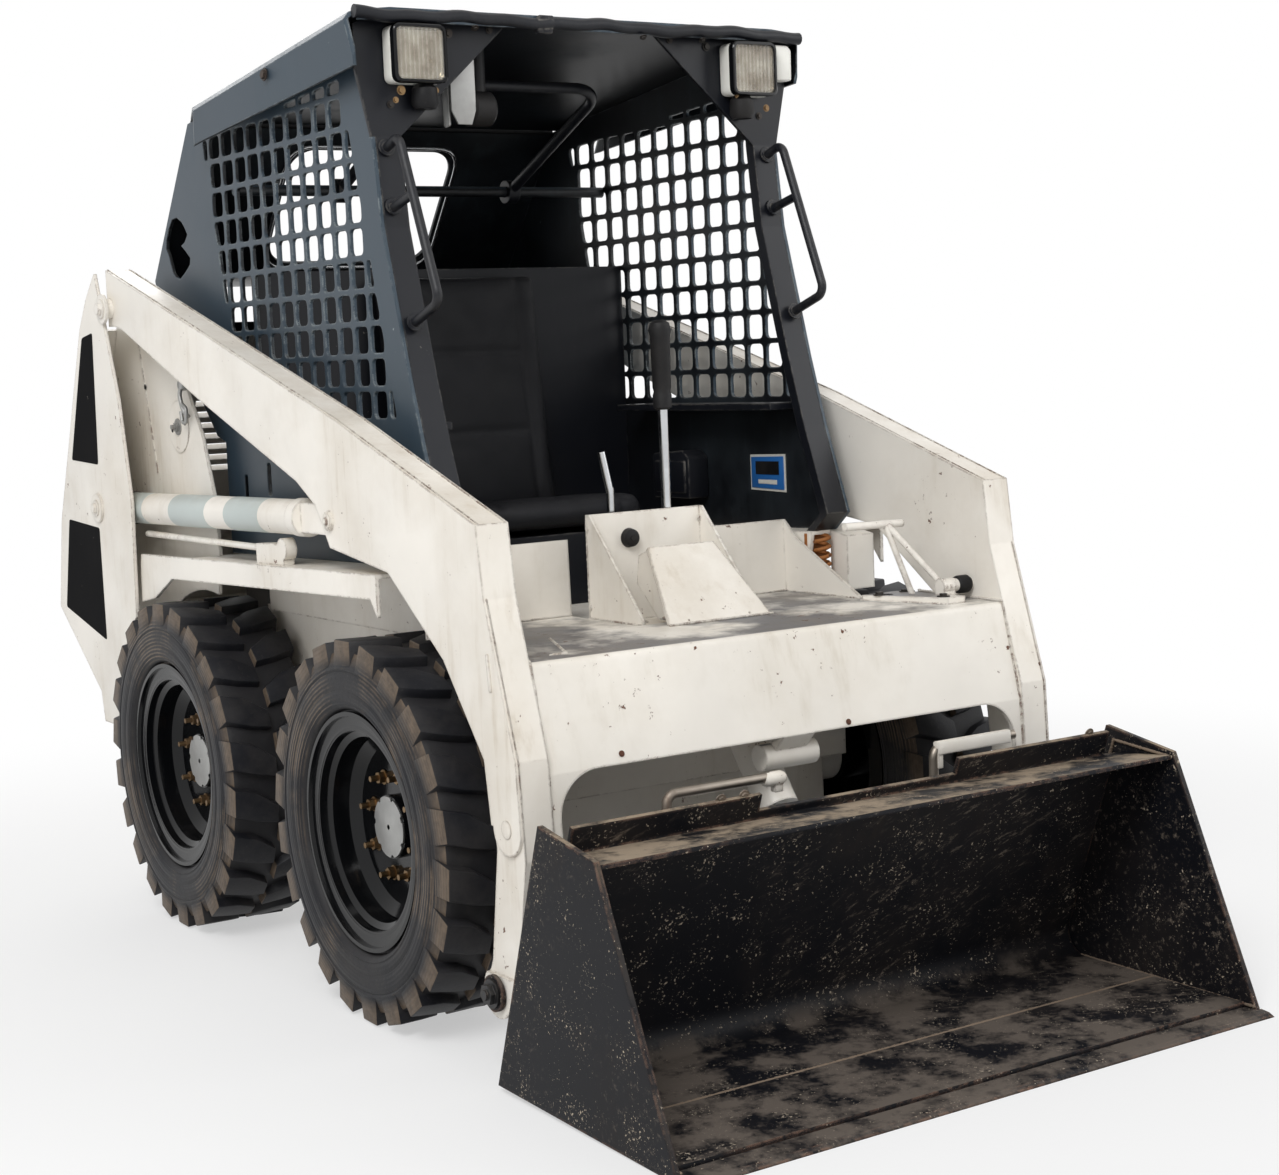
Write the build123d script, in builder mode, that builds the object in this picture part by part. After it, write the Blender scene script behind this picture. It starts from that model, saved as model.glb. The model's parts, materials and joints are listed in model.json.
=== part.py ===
"""Skid steer loader: frame, cab, lift arms, bucket, cylinders and four wheels.

Millimetres. +Z is up and the machine faces -Y. The origin is the middle of its footprint on the ground.
A side outline is a list of (y, z) points on a plane across X.
"""

import os
from math import cos, radians, sin

from build123d import *

os.makedirs("parts", exist_ok=True)

# ---- driving dimensions ----
LENGTH = 2714
WIDTH = 1280
SIDES = (("right", -1), ("left", 1))  # name, sign of X

PIN_R = 22
PIN_GAP = 0.1

TYRE_R = 360
RIM_BARREL_R = 192
TYRE_OUT = WIDTH / 2  # |X| of the tyre's outer wall
TYRE_IN = 427
RIM_OUT = 630
FLANGE_R = 224
STUB_R = 28
HUB_FACE = 564
FRONT_AXLE = (-308, TYRE_R)  # y, z
REAR_AXLE = (613, TYRE_R)
AXLES = (("front", FRONT_AXLE), ("rear", REAR_AXLE))

ARM_OUT = 596  # |X| of the lift arm's outer face
ARM_IN = 532
ARM_PIVOT = (909, 1370)
BUCKET_PIVOT = (-746, 150)
LIFT_BASE = (-188, 930)  # lift cylinder's pin in the arm
LIFT_EYE = (1030, 912)  # its rod's pin in the tower
TILT_BASE = (-465, 790)  # tilt cylinder's pin in the guard
TILT_EYE_R = 170
TILT_EYE_ANGLE = 115
TILT_EYE = (
    BUCKET_PIVOT[0] + TILT_EYE_R * cos(radians(TILT_EYE_ANGLE)),
    BUCKET_PIVOT[1] + TILT_EYE_R * sin(radians(TILT_EYE_ANGLE)),
)

TOWER_OUT = 612
TOWER_IN = 516
PLATE = 8

CAB_OUT = 473
CAB_IN = 465
POST_IN = 413  # |X| of the front post's inner edge

BUCKET_HALF = 635
BUCKET_SIDE = 10
EDGE_Y = -LENGTH / 2
REAR_Y = LENGTH / 2


# ---- helpers ----
def outline(*points, mode=Mode.ADD):
    """A closed face through the points, in the sketch that is open."""
    Polygon(*points, align=None, mode=mode)


def side(x):
    """The plane across X at x, with local (y, z)."""
    return Plane.YZ.offset(x)


def write(part, name):
    """Label a finished piece and write its file."""
    part.label = name
    export_step(part, f"parts/{name}.step")


def shifted(point, dy, dz):
    return (point[0] + dy, point[1] + dz)


# ---- wheels ----
LUGS = 22  # on each half of a tyre
LUG_TIP_R = 356.5  # to a lug's flat top, whose corners lie on TYRE_R
LUG_ROOT_R = 292
LUG_PITCH = 360 / LUGS
BORE_SIDES = 16  # flats of the bore, which stand just clear of the rim's round barrel
TYRE_MID = (TYRE_IN + TYRE_OUT) / 2
# casing between the lugs, as polygons across the axle: |X|, corner radius
CASING = ((TYRE_IN, 290), (440, 338), (627, 338), (TYRE_OUT, 290))
# bore, and the two recesses for the rim's flanges: |X| from, to, radius left clear
BORES = ((TYRE_IN, TYRE_OUT, RIM_BARREL_R), (TYRE_IN, 447, FLANGE_R + 2), (620, TYRE_OUT, FLANGE_R + 2))
# plan of a lug: distance from the tyre's middle, distance round the tread
LUG_PLAN = ((3, -38), (103, -12), (103, 48), (3, 2))
# section of the rim: |X|, radius, from the outer lip round the deep dish and back inside the tyre
RIM_SECTION = (
    (RIM_OUT, 216),
    (RIM_OUT, FLANGE_R),
    (621, FLANGE_R),
    (620, RIM_BARREL_R),
    (447, RIM_BARREL_R),
    (445, FLANGE_R),
    (437, FLANGE_R),
    (437, 184),
    (534, 184),
    (534, 60),
    (476, 60),
    (476, STUB_R + PIN_GAP),
    (526, STUB_R + PIN_GAP),
    (526, 0),
    (HUB_FACE, 0),
    (HUB_FACE, 60),
    (546, 60),
    (546, 152),
    (564, 172),
    (598, 174),
    (604, 186),
    (619, 188),
    (622, 214),
)


def wheel_plane(axle):
    """The plane through an axle with local (x, radius)."""
    return Plane(origin=(0, axle[0], axle[1]), x_dir=(1, 0, 0), z_dir=(0, -1, 0))


def tread_plane(axle, angle):
    """The plane of a lug's top, with local (x, distance round the tread)."""
    out = (0, sin(radians(angle)), -cos(radians(angle)))
    return Plane(origin=(0, axle[0] + LUG_TIP_R * out[1], axle[1] + LUG_TIP_R * out[2]), x_dir=(1, 0, 0), z_dir=out)


def ring(axle, sides, radius):
    """Corners of a regular polygon round an axle, with a flat at the bottom."""
    turns = [radians((corner + 0.5) * 360 / sides) for corner in range(sides)]
    return [(axle[0] + radius * sin(turn), axle[1] - radius * cos(turn)) for turn in turns]


# every tyre is the front right one, moved along or mirrored
with BuildPart() as first_tyre:
    for near, far in zip(CASING, CASING[1:]):
        for x, radius in (near, far):
            with BuildSketch(side(-x)):
                outline(*ring(FRONT_AXLE, LUGS, radius))
        loft(ruled=True)
    # the lugs of the inner half stand between those of the outer half
    for half, offset in ((-1, 0), (1, LUG_PITCH / 2)):
        with BuildSketch(*[tread_plane(FRONT_AXLE, lug * LUG_PITCH + offset) for lug in range(LUGS)]):
            outline(*[(half * across - TYRE_MID, round_it) for across, round_it in LUG_PLAN])
        extrude(amount=LUG_ROOT_R - LUG_TIP_R)
    for start, end, clear in BORES:
        with BuildSketch(side(-start)):
            outline(*ring(FRONT_AXLE, BORE_SIDES, (clear + 0.2) / cos(radians(180 / BORE_SIDES))))
        extrude(amount=start - end, mode=Mode.SUBTRACT)

for end, axle in AXLES:
    turn = Axis((0, axle[0], axle[1]), (1, 0, 0))
    for hand, sign in SIDES:
        tyre = first_tyre.part.moved(Location((0, axle[0] - FRONT_AXLE[0], 0)))
        write(tyre if hand == "right" else tyre.mirror(Plane.YZ), f"tyre_{end}_{hand}")

        with BuildPart() as rim:
            with BuildSketch(wheel_plane(axle)):
                outline(*[(sign * x, r) for x, r in RIM_SECTION])
            revolve(axis=turn)
        write(rim.part, f"rim_{end}_{hand}")

# ---- frame ----
TUB_HALF = 405
TUB_FRONT = -458
TUB_TOP = 700
AXLE_TUBE_R = 55

TUB_LOW = 190
ENGINE_FLOOR = 478
with BuildPart() as frame_tub:
    with BuildSketch(side(-TUB_HALF)):
        outline((TUB_FRONT, 388), (-380, 378), (-380, TUB_LOW), (900, TUB_LOW), (1120, 440), (1320, 622), (1320, 640),
                (1308, 648), (1100, ENGINE_FLOOR), (560, ENGINE_FLOOR), (560, TUB_TOP), (TUB_FRONT, TUB_TOP))
    extrude(amount=2 * TUB_HALF)
    for end, axle in AXLES:
        with BuildSketch(side(-470)):
            with Locations(axle):
                Circle(AXLE_TUBE_R)
        extrude(amount=2 * 470)
        with BuildSketch(side(-522)):
            with Locations(axle):
                Circle(STUB_R)
        extrude(amount=2 * 522)
write(frame_tub.part, "frame_tub")

# line of the rear door between the towers, and its two hinges on the left tower
DOOR_TOP = (1081, 1328)
DOOR_FOOT = (1304, 872)
door_up = Vector(0, DOOR_TOP[0] - DOOR_FOOT[0], DOOR_TOP[1] - DOOR_FOOT[1]).normalized()
HINGE_X = 510.5
HINGE_HEIGHTS = (70, 376)  # foot of the door's knuckle, up the door
HINGE_PIN_R = 4
KNUCKLE_R = 7
KNUCKLE = 50
KNUCKLE_GAP = 0.5


def up_the_door(height):
    """The plane across the hinge line at a height above the door's foot."""
    foot = (HINGE_X, DOOR_FOOT[0] + height * door_up.Y, DOOR_FOOT[1] + height * door_up.Z)
    return Plane(origin=foot, x_dir=(1, 0, 0), z_dir=tuple(door_up))


# the outer plate of each tower, seen from the side
TOWER_OUTLINE = (
    (960, 1452),
    (1026, 1396),
    (1081, 1328),
    (1304, 872),
    (REAR_Y, 657),
    (1099, 471),
    (1085, 399),
    (900, 399),
    (831, 657),
    (815, 930),
    (858, 1163),
)
WHEEL_CLEAR_R = 378
with BuildPart() as tower_outers:
    with BuildSketch(side(TOWER_OUT - PLATE)):
        outline(*TOWER_OUTLINE)
        with Locations(REAR_AXLE):
            Circle(WHEEL_CLEAR_R, mode=Mode.SUBTRACT)
    extrude(amount=PLATE)
    # rear strip that joins the two plates of the tower
    with BuildSketch(side(TOWER_IN + PLATE)):
        outline((1081, 1328), (1304, 872), (REAR_Y, 657), (REAR_Y - PLATE, 655), (1295, 870), (1072, 1324))
    extrude(amount=TOWER_OUT - TOWER_IN - 2 * PLATE)
    # pivot pin, and the round bosses over both pins
    with BuildSketch(side(TOWER_IN)):
        with Locations(ARM_PIVOT):
            Circle(PIN_R)
    extrude(amount=TOWER_OUT + 6 - TOWER_IN)
    with BuildSketch(side(TOWER_OUT)):
        with Locations(ARM_PIVOT, LIFT_EYE):
            Circle(34)
    extrude(amount=6)
    mirror(about=Plane.YZ)
write(tower_outers.part, "tower_outers")

with BuildPart() as tower_inners:
    with BuildSketch(side(TOWER_IN)):
        outline((960, 1446), (1026, 1390), (1076, 1328), (1296, 872), (1345, 660), (1094, 474), (1080, 405),
                (985, 405), (560, 690), (530, 815), (542, 945), (592, 1084), (664, 1185))
        with Locations(REAR_AXLE):
            Circle(WHEEL_CLEAR_R, mode=Mode.SUBTRACT)
        with Locations(ARM_PIVOT):
            Circle(PIN_R, mode=Mode.SUBTRACT)
    extrude(amount=PLATE)
    # upright seam rib on the plate's outer face
    with BuildSketch(side(TOWER_IN + PLATE)):
        outline((932, 1290), (938, 1290), (868, 992), (862, 992))
        # round cover
        with Locations((716, 1099)):
            Circle(58)
    extrude(amount=2.5)
    mirror(about=Plane.YZ)
    # the tower's knuckles above and below the door's, with the pin between them
    for height in HINGE_HEIGHTS:
        with BuildSketch(up_the_door(height - KNUCKLE_GAP)):
            Circle(KNUCKLE_R + 1)
        extrude(amount=KNUCKLE + 2 * KNUCKLE_GAP, mode=Mode.SUBTRACT)
        for foot in (height - KNUCKLE_GAP - KNUCKLE / 2, height + KNUCKLE + KNUCKLE_GAP):
            with BuildSketch(up_the_door(foot)):
                Circle(KNUCKLE_R)
            extrude(amount=KNUCKLE / 2)
        with BuildSketch(up_the_door(height - 2)):
            Circle(HINGE_PIN_R)
        extrude(amount=KNUCKLE + 4)
write(tower_inners.part, "tower_inners")

# fender shelf over each pair of tyres, with its turned-down outer lip
FENDER_OUT = 596
NOSE_IN, NOSE_OUT = 455, 525
PIPE_X, PIPE_Z = 570, 858
with BuildPart() as fenders:
    with BuildSketch(side(FENDER_OUT - PLATE)):
        outline((-366, 839), (815, 814), (822, 790), (828, 704), (744, 718), (637, 768), (-340, 792), (-366, 760))
    extrude(amount=PLATE)
    with BuildSketch(side(TUB_HALF)):
        outline((-366, 839), (528, 820), (528, 812), (-366, 831))
    extrude(amount=FENDER_OUT - PLATE - TUB_HALF)
    with BuildSketch(side(TUB_HALF)):
        outline((-366, 831), (528, 812), (528, 690), (-340, 690))
    extrude(amount=PLATE)
    # folded nose in front of the cab's foot
    with BuildSketch(side(NOSE_IN)):
        outline((-366, 839), (-420, 829), (-420, 717), (-414, 717), (-414, 824), (-366, 833))
    extrude(amount=NOSE_OUT - NOSE_IN)
    with BuildSketch(side(NOSE_IN)):
        outline((-366, 839), (-420, 829), (-420, 717), (-366, 730))
    extrude(amount=6)
    # pipe along the shelf to a cast fitting
    with BuildSketch(Plane.XZ.offset(-180)):
        with Locations((PIPE_X, PIPE_Z)):
            Circle(7)
    extrude(amount=-650)
    with BuildSketch(side(PIPE_X - 12)):
        outline((64, 826), (196, 824), (196, PIPE_Z + 10), (120, PIPE_Z + 14), (64, PIPE_Z + 12))
        with Locations((71, PIPE_Z + 4)):
            Circle(22)
    extrude(amount=24)
    mirror(about=Plane.YZ)
write(fenders.part, "fenders")

# open-fronted console between the foot trays
HOOD_HALF = 135
HOOD_WALL = 6
HOOD_BACK = -354
HOOD_TOP = 913
TRAY_FRONT = -540
with BuildPart() as console:
    with BuildSketch(side(HOOD_HALF - HOOD_WALL)):
        outline((HOOD_BACK, HOOD_TOP), (HOOD_BACK - 12, HOOD_TOP), (TRAY_FRONT, 722), (TRAY_FRONT, 712),
                (HOOD_BACK, 712))
    extrude(amount=HOOD_WALL)
    mirror(about=Plane.YZ)
    with BuildSketch(side(-HOOD_HALF)):
        outline((HOOD_BACK, HOOD_TOP), (HOOD_BACK - HOOD_WALL, HOOD_TOP), (HOOD_BACK - HOOD_WALL, TUB_TOP),
                (HOOD_BACK, TUB_TOP))
    extrude(amount=2 * HOOD_HALF)
    with BuildSketch(Plane.XZ.offset(-(HOOD_BACK - HOOD_WALL))):
        with Locations((-40, 862)):
            Circle(17)
    extrude(amount=5)
write(console.part, "console")

TRAY_OUT = 400
TRAY_BACK = -290
with BuildPart() as foot_trays:
    with BuildSketch(side(HOOD_HALF)):
        outline((TRAY_FRONT, 712), (TRAY_FRONT, 700), (TUB_FRONT, TUB_TOP), (TRAY_BACK + 6, TUB_TOP),
                (TRAY_BACK + 10, 862), (TRAY_BACK + 4, 862), (TRAY_BACK, 712))
    extrude(amount=TRAY_OUT - HOOD_HALF)
    with BuildSketch(side(TRAY_OUT - HOOD_WALL)):
        outline((TRAY_FRONT, 712), (-328, 824), (TRAY_BACK + 4, 862), (TRAY_BACK, 712))
    extrude(amount=HOOD_WALL)
    mirror(about=Plane.YZ)
write(foot_trays.part, "foot_trays")

with BuildPart() as engine:
    with BuildSketch(side(-230)):
        outline((620, ENGINE_FLOOR), (1090, ENGINE_FLOOR), (1090, 900), (1010, 1060), (660, 1060), (620, 1000))
    extrude(amount=460)
write(engine.part, "engine")

# slatted cover over the engine, between the towers and the cab
COVER_Z = 1326
COVER_THICK = 20
COVER_FRONT, COVER_STEP, COVER_REAR = 650, 950, 1052
COVER_HALF = 458  # beside the cab; behind it the cover reaches the towers
with BuildPart() as engine_cover:
    with BuildSketch(Plane.XY.offset(COVER_Z - COVER_THICK)):
        outline((-COVER_HALF, COVER_FRONT), (COVER_HALF, COVER_FRONT), (COVER_HALF, COVER_STEP),
                (TOWER_IN, COVER_STEP), (TOWER_IN, COVER_REAR), (-TOWER_IN, COVER_REAR),
                (-TOWER_IN, COVER_STEP), (-COVER_HALF, COVER_STEP))
        with Locations((-200, 860), (200, 860)):
            with GridLocations(0, 34, 1, 9):
                Rectangle(340, 18, mode=Mode.SUBTRACT)
    extrude(amount=COVER_THICK)
write(engine_cover.part, "engine_cover")

with BuildPart() as rear_panel:
    with BuildSketch(side(-TOWER_IN)):
        outline((1304, 866), (REAR_Y, 657), (1332, 630), (1320, 622), (1320, 657), (1284, 866))
    extrude(amount=2 * TOWER_IN)
write(rear_panel.part, "rear_panel")

# ---- rear door ----
DOOR_HALF = 505
DOOR_THICK = 26
DOOR_HEIGHT = 496
# its z_dir points into the machine
door_plane = Plane(origin=(0, *DOOR_FOOT), x_dir=(1, 0, 0), z_dir=tuple(Vector(1, 0, 0).cross(door_up)))
with BuildPart() as rear_door:
    with BuildSketch(door_plane):
        with Locations((0, DOOR_HEIGHT / 2 + 6)):
            RectangleRounded(2 * DOOR_HALF, DOOR_HEIGHT - 12, 18)
        with Locations((0, DOOR_HEIGHT / 2 + 20)):
            with GridLocations(0, 30, 1, 10):
                Rectangle(620, 16, mode=Mode.SUBTRACT)
    extrude(amount=DOOR_THICK)
    for height in HINGE_HEIGHTS:
        # room for the tower's knuckles, then the door's own between them
        for foot in (height - KNUCKLE / 2 - 2, height + KNUCKLE):
            with BuildSketch(up_the_door(foot)):
                Circle(KNUCKLE_R + 1)
            extrude(amount=KNUCKLE / 2 + 2, mode=Mode.SUBTRACT)
        with BuildSketch(up_the_door(height)):
            Circle(KNUCKLE_R)
        extrude(amount=KNUCKLE)
        with BuildSketch(up_the_door(height)):
            Circle(HINGE_PIN_R + PIN_GAP)
        extrude(amount=KNUCKLE, mode=Mode.SUBTRACT)
write(rear_door.part, "rear_door")

# ---- cab ----
VISOR_Y = -202  # front face of the plates over the windscreen opening
VISOR_FOOT = 1640
SHELF_FRONT, SHELF_REAR = (-366, 839), (528, 820)  # top of the fender, which the cab stands on
# front edge of a post, from the visor down
POST_FRONT = ((VISOR_Y, VISOR_FOOT), (-223, 1471), (-300, 1196), (-344, 1057), (-412, 877), SHELF_FRONT)

ROOF_FRONT = -241
ROOF_REAR = 665
ROOF_Z = 1862  # flat underside of the roof at its front edge
ROOF_FALL = 0.1076  # fall for each millimetre to the rear


def roof_under(y):
    """Height of the roof's flat underside at y."""
    return ROOF_Z - ROOF_FALL * (y - ROOF_FRONT)


SLOPE_TOP = (686, roof_under(686))
SLOPE_FOOT = (939, 1433)
BEHIND_VISOR = VISOR_Y + PLATE
CAB_SIDE = (
    (BEHIND_VISOR, roof_under(BEHIND_VISOR)),
    (BEHIND_VISOR, VISOR_FOOT),
    *POST_FRONT,
    SHELF_REAR,
    (579, 819),
    (579, 1063),
    (624, 1076),
    (929, 1383),
    SLOPE_FOOT,
    SLOPE_TOP,
)
MESH_OUTLINE = ((-248, 1106), (-80, 1760), (609, 1715), (475, 1106))
MESH_PITCH_Y = 66
MESH_PITCH_Z = 62
MESH_UPRIGHT = 12
MESH_LEVEL = 18
# torn hole in the rear corner
QUARTER_HOLE = ((811, 1563), (758, 1555), (727, 1524), (767, 1502), (718, 1472), (734, 1451), (785, 1429),
                (825, 1445), (843, 1484), (852, 1519))
# upright slots in the skirt: centre, width, height
SKIRT_SLOTS = (((479, 964), 18, 60), ((356, 987), 20, 70))
for hand, sign in SIDES:
    with BuildPart() as cab_side:
        with BuildSketch(side(sign * CAB_IN)):
            outline(*CAB_SIDE)
            for place, width, height in SKIRT_SLOTS:
                with Locations(place):
                    SlotOverall(height, width, rotation=90, mode=Mode.SUBTRACT)
            outline(*QUARTER_HOLE, mode=Mode.SUBTRACT)
            outline(*MESH_OUTLINE, mode=Mode.SUBTRACT)
        extrude(amount=sign * PLATE)
        # bars of the punched window
        with BuildSketch(side(sign * CAB_IN)):
            for column in range(14):
                with Locations((-214 + column * MESH_PITCH_Y, 1435)):
                    Rectangle(MESH_UPRIGHT, 700)
            for row in range(11):
                with Locations((180, 1110 + row * MESH_PITCH_Z)):
                    Rectangle(1000, MESH_LEVEL)
            outline(*MESH_OUTLINE, mode=Mode.INTERSECT)
        extrude(amount=sign * PLATE)
    write(cab_side.part, f"cab_side_{hand}")

POST_DEPTH = 26
SILL_Z = 1104
with BuildPart() as cab_frame:
    front = [(BEHIND_VISOR, roof_under(BEHIND_VISOR)), (BEHIND_VISOR, VISOR_FOOT), *POST_FRONT]
    with BuildSketch(side(POST_IN)):
        back = [(BEHIND_VISOR + POST_DEPTH, roof_under(BEHIND_VISOR + POST_DEPTH))]
        back += [shifted(point, POST_DEPTH, 0) for point in POST_FRONT[:-1]]
        outline(*front, (POST_FRONT[-2][0] + POST_DEPTH + 46, 838.5), *reversed(back))
    extrude(amount=CAB_IN - POST_IN)
    # visor plate: a triangle across the upper corner, flared outwards under the roof's skirt
    with BuildSketch(Plane.XZ.offset(-BEHIND_VISOR)):
        outline((CAB_OUT, VISOR_FOOT), (500, 1766), (500, 1845), (480, 1856), (172, 1856), (POST_IN, VISOR_FOOT))
    extrude(amount=PLATE)
    # ledge along the foot of the punched window
    with BuildSketch(side(CAB_IN - 90)):
        outline((-280, SILL_Z), (300, SILL_Z), (300, SILL_Z - 14), (-280, SILL_Z - 14))
    extrude(amount=90)
    mirror(about=Plane.YZ)
write(cab_frame.part, "cab_frame")

ROOF_HALF = 526
SKIRT_FOOT_HALF = 510
SKIRT_FOOT_Z = 1766
# outer line of the roof's section, from the skirt's foot over the crown: X, z
ROOF_SECTION = ((SKIRT_FOOT_HALF, SKIRT_FOOT_Z - 20), (ROOF_HALF, 1852), (518, 1864), (440, 1872))
LIP_FOOT = 1847
back_along_roof = (0, 1, -ROOF_FALL)
with BuildPart() as cab_roof:
    with BuildSketch(Plane.XZ.offset(-ROOF_FRONT)):
        outline(*ROOF_SECTION, *[(-x, z) for x, z in reversed(ROOF_SECTION)], (6 - SKIRT_FOOT_HALF, SKIRT_FOOT_Z - 20),
                (-519, 1852), (-512, 1858), (-480, ROOF_Z), (480, ROOF_Z), (512, 1858), (519, 1852),
                (SKIRT_FOOT_HALF - 6, SKIRT_FOOT_Z - 20))
    extrude(amount=1000, dir=back_along_roof)
    with BuildSketch(Plane.XZ.offset(-ROOF_FRONT)):
        outline(*ROOF_SECTION[1:], *[(-x, z) for x, z in reversed(ROOF_SECTION[1:])], (-524, LIP_FOOT),
                (524, LIP_FOOT))
    extrude(amount=6, dir=back_along_roof)
    with BuildSketch(side(-ROOF_HALF)):
        outline((ROOF_FRONT, 1900), (ROOF_FRONT, LIP_FOOT), (-225, SKIRT_FOOT_Z), (520, 1705), (ROOF_REAR, 1690),
                (ROOF_REAR, 1900))
    extrude(amount=2 * ROOF_HALF, mode=Mode.INTERSECT)
    with BuildSketch(Plane.XY.offset(1600)):
        outline((-ROOF_HALF + 24, ROOF_FRONT), (ROOF_HALF - 24, ROOF_FRONT), (ROOF_HALF, ROOF_FRONT + 24),
                (ROOF_HALF, 521), (CAB_OUT, ROOF_REAR), (-CAB_OUT, ROOF_REAR), (-ROOF_HALF, 521),
                (-ROOF_HALF, ROOF_FRONT + 24))
    extrude(amount=400, mode=Mode.INTERSECT)
write(cab_roof.part, "cab_roof")

# rear wall of the cab: a sloping plate with its window, and the bar that the seat bar turns on
BAR_PIVOT = (470, 1600)
BAR_PIVOT_R = 12
slope_up = Vector(0, SLOPE_TOP[0] - SLOPE_FOOT[0], SLOPE_TOP[1] - SLOPE_FOOT[1]).normalized()
slope_in = Vector(1, 0, 0).cross(slope_up)
slope_plane = Plane(origin=(0, *SLOPE_FOOT), x_dir=(1, 0, 0), z_dir=tuple(slope_in))
slope_under = shifted(SLOPE_FOOT, PLATE * slope_in.Y, PLATE * slope_in.Z)
SLOPE_IN_TOP = (676, roof_under(676))
with BuildPart() as cab_rear:
    with BuildSketch(side(-CAB_IN)):
        outline(SLOPE_FOOT, SLOPE_TOP, SLOPE_IN_TOP, slope_under)
    extrude(amount=2 * CAB_IN)
    with BuildSketch(slope_plane):
        with Locations((0, 205)):
            RectangleRounded(420, 310, 60)
    extrude(amount=20, both=True, mode=Mode.SUBTRACT)
    with BuildSketch(side(-CAB_IN)):
        with Locations(BAR_PIVOT):
            Circle(BAR_PIVOT_R)
    extrude(amount=2 * CAB_IN)
write(cab_rear.part, "cab_rear")

BULKHEAD = 400
with BuildPart() as bulkhead:
    with BuildSketch(side(-CAB_IN)):
        outline((BULKHEAD, 842), (BULKHEAD, 1424), (926, 1424), slope_under, SLOPE_FOOT, (936, 1416),
                (BULKHEAD + PLATE, 1416), (BULKHEAD + PLATE, 842))
    extrude(amount=2 * CAB_IN)
write(bulkhead.part, "bulkhead")

SEAT_HALF = 212
with BuildPart() as seat_cushion:
    with BuildSketch(side(-SEAT_HALF)):
        outline((-60, 870), (-64, 915), (-30, 936), (270, 918), (284, 912), (284, 850), (-30, 850))
    extrude(amount=2 * SEAT_HALF)
write(seat_cushion.part, "seat_cushion")

with BuildPart() as seat_back:
    with BuildSketch(side(-SEAT_HALF)):
        outline((288, 850), (288, 915), (364, 1416), (384, 1416), (318, 850))
    extrude(amount=2 * SEAT_HALF)
write(seat_back.part, "seat_back")

with BuildPart() as seat_base:
    with BuildSketch(side(-SEAT_HALF + 30)):
        outline((-30, TUB_TOP), (-30, 850), (318, 850), (318, TUB_TOP))
    extrude(amount=2 * SEAT_HALF - 60)
write(seat_base.part, "seat_base")

# a lamp on each visor plate, and a plain white housing outside the left one
LAMP_X = 387
LAMP_Z = 1789
LAMP_FRONT = -255
with BuildPart() as lamps:
    with BuildSketch(Plane.XZ.offset(-VISOR_Y)):
        with Locations((-LAMP_X, LAMP_Z), (LAMP_X, LAMP_Z)):
            RectangleRounded(112, 108, 16)
    extrude(amount=VISOR_Y - LAMP_FRONT)
    with BuildSketch(Plane.XZ.offset(-VISOR_Y)):
        outline((449, 1770), (495, 1770), (496, 1832), (486, 1842), (449, 1842))
    extrude(amount=33)
write(lamps.part, "lamps")

# grab handles on the front posts: a bar on three legs
HANDLE_X = 445
HANDLE_R = 9
with BuildPart() as grab_handles:
    with BuildLine() as bar:
        FilletPolyline((HANDLE_X, -190, 1614), (HANDLE_X, -257, 1637), (HANDLE_X, -384, 1326), (HANDLE_X, -265, 1286),
                       radius=22)
    with BuildSketch(Plane(origin=bar.line @ 0, z_dir=bar.line % 0)):
        Circle(HANDLE_R)
    sweep()
    with BuildLine() as middle_leg:
        Line((HANDLE_X, -302, 1527), (HANDLE_X, -205, 1504))
    with BuildSketch(Plane(origin=middle_leg.line @ 0, z_dir=middle_leg.line % 0)):
        Circle(HANDLE_R)
    sweep(path=middle_leg.line)
    # the legs end on the post's face
    with BuildSketch(side(POST_IN)):
        outline(*POST_FRONT, (200, 839), (200, VISOR_FOOT))
    extrude(amount=CAB_OUT - POST_IN, mode=Mode.SUBTRACT)
    mirror(about=Plane.YZ)
write(grab_handles.part, "grab_handles")

LEVER_Y = -340
# two straight lengths of the short lever
SHORT_LEVER = (((-60, -330, TUB_TOP), (-60, -330, 960)), ((-60, -330, 950), (-72, -322, 1030)))
with BuildPart() as levers:
    with BuildSketch(Plane.XY.offset(TUB_TOP)):
        with Locations((65, LEVER_Y)):
            Circle(10)
    extrude(amount=1130 - TUB_TOP)
    with BuildSketch(Plane.XY.offset(1130)):
        with Locations((65, LEVER_Y)):
            Circle(16)
    extrude(amount=135)
    # short bent lever beside it
    for start, end in SHORT_LEVER:
        lever_line = Vector(*end) - Vector(*start)
        with BuildSketch(Plane(origin=start, z_dir=tuple(lever_line))):
            Circle(8)
        extrude(amount=lever_line.length)
write(levers.part, "levers")

# ---- seat bar, raised ----
BAR_FRONT = (60, 1780)
BAR_HALF = 215
BAR_R = 12
BAR_HUB_R = 26
with BuildPart() as seat_bar:
    with BuildLine() as path:
        FilletPolyline((-BAR_HALF, *BAR_PIVOT), (-BAR_HALF, *BAR_FRONT), (BAR_HALF, *BAR_FRONT),
                       (BAR_HALF, *BAR_PIVOT), radius=70)
    with BuildSketch(Plane(origin=path.line @ 0, z_dir=path.line % 0)):
        Circle(BAR_R)
    sweep()
    for x in (-BAR_HALF, BAR_HALF):
        with BuildSketch(side(x - 14)):
            with Locations(BAR_PIVOT):
                Circle(BAR_HUB_R)
        extrude(amount=28)
    with BuildSketch(side(-BAR_HALF - 30)):
        with Locations(BAR_PIVOT):
            Circle(BAR_PIVOT_R + PIN_GAP)
    extrude(amount=2 * BAR_HALF + 60, mode=Mode.SUBTRACT)
write(seat_bar.part, "seat_bar")

# ---- lift arms ----
CYL_X = 564
BARREL_R = 35
LIFT_CAP = 158  # distance from the foot's pin to the barrel's closed end
LIFT_ROD_R = 20


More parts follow.
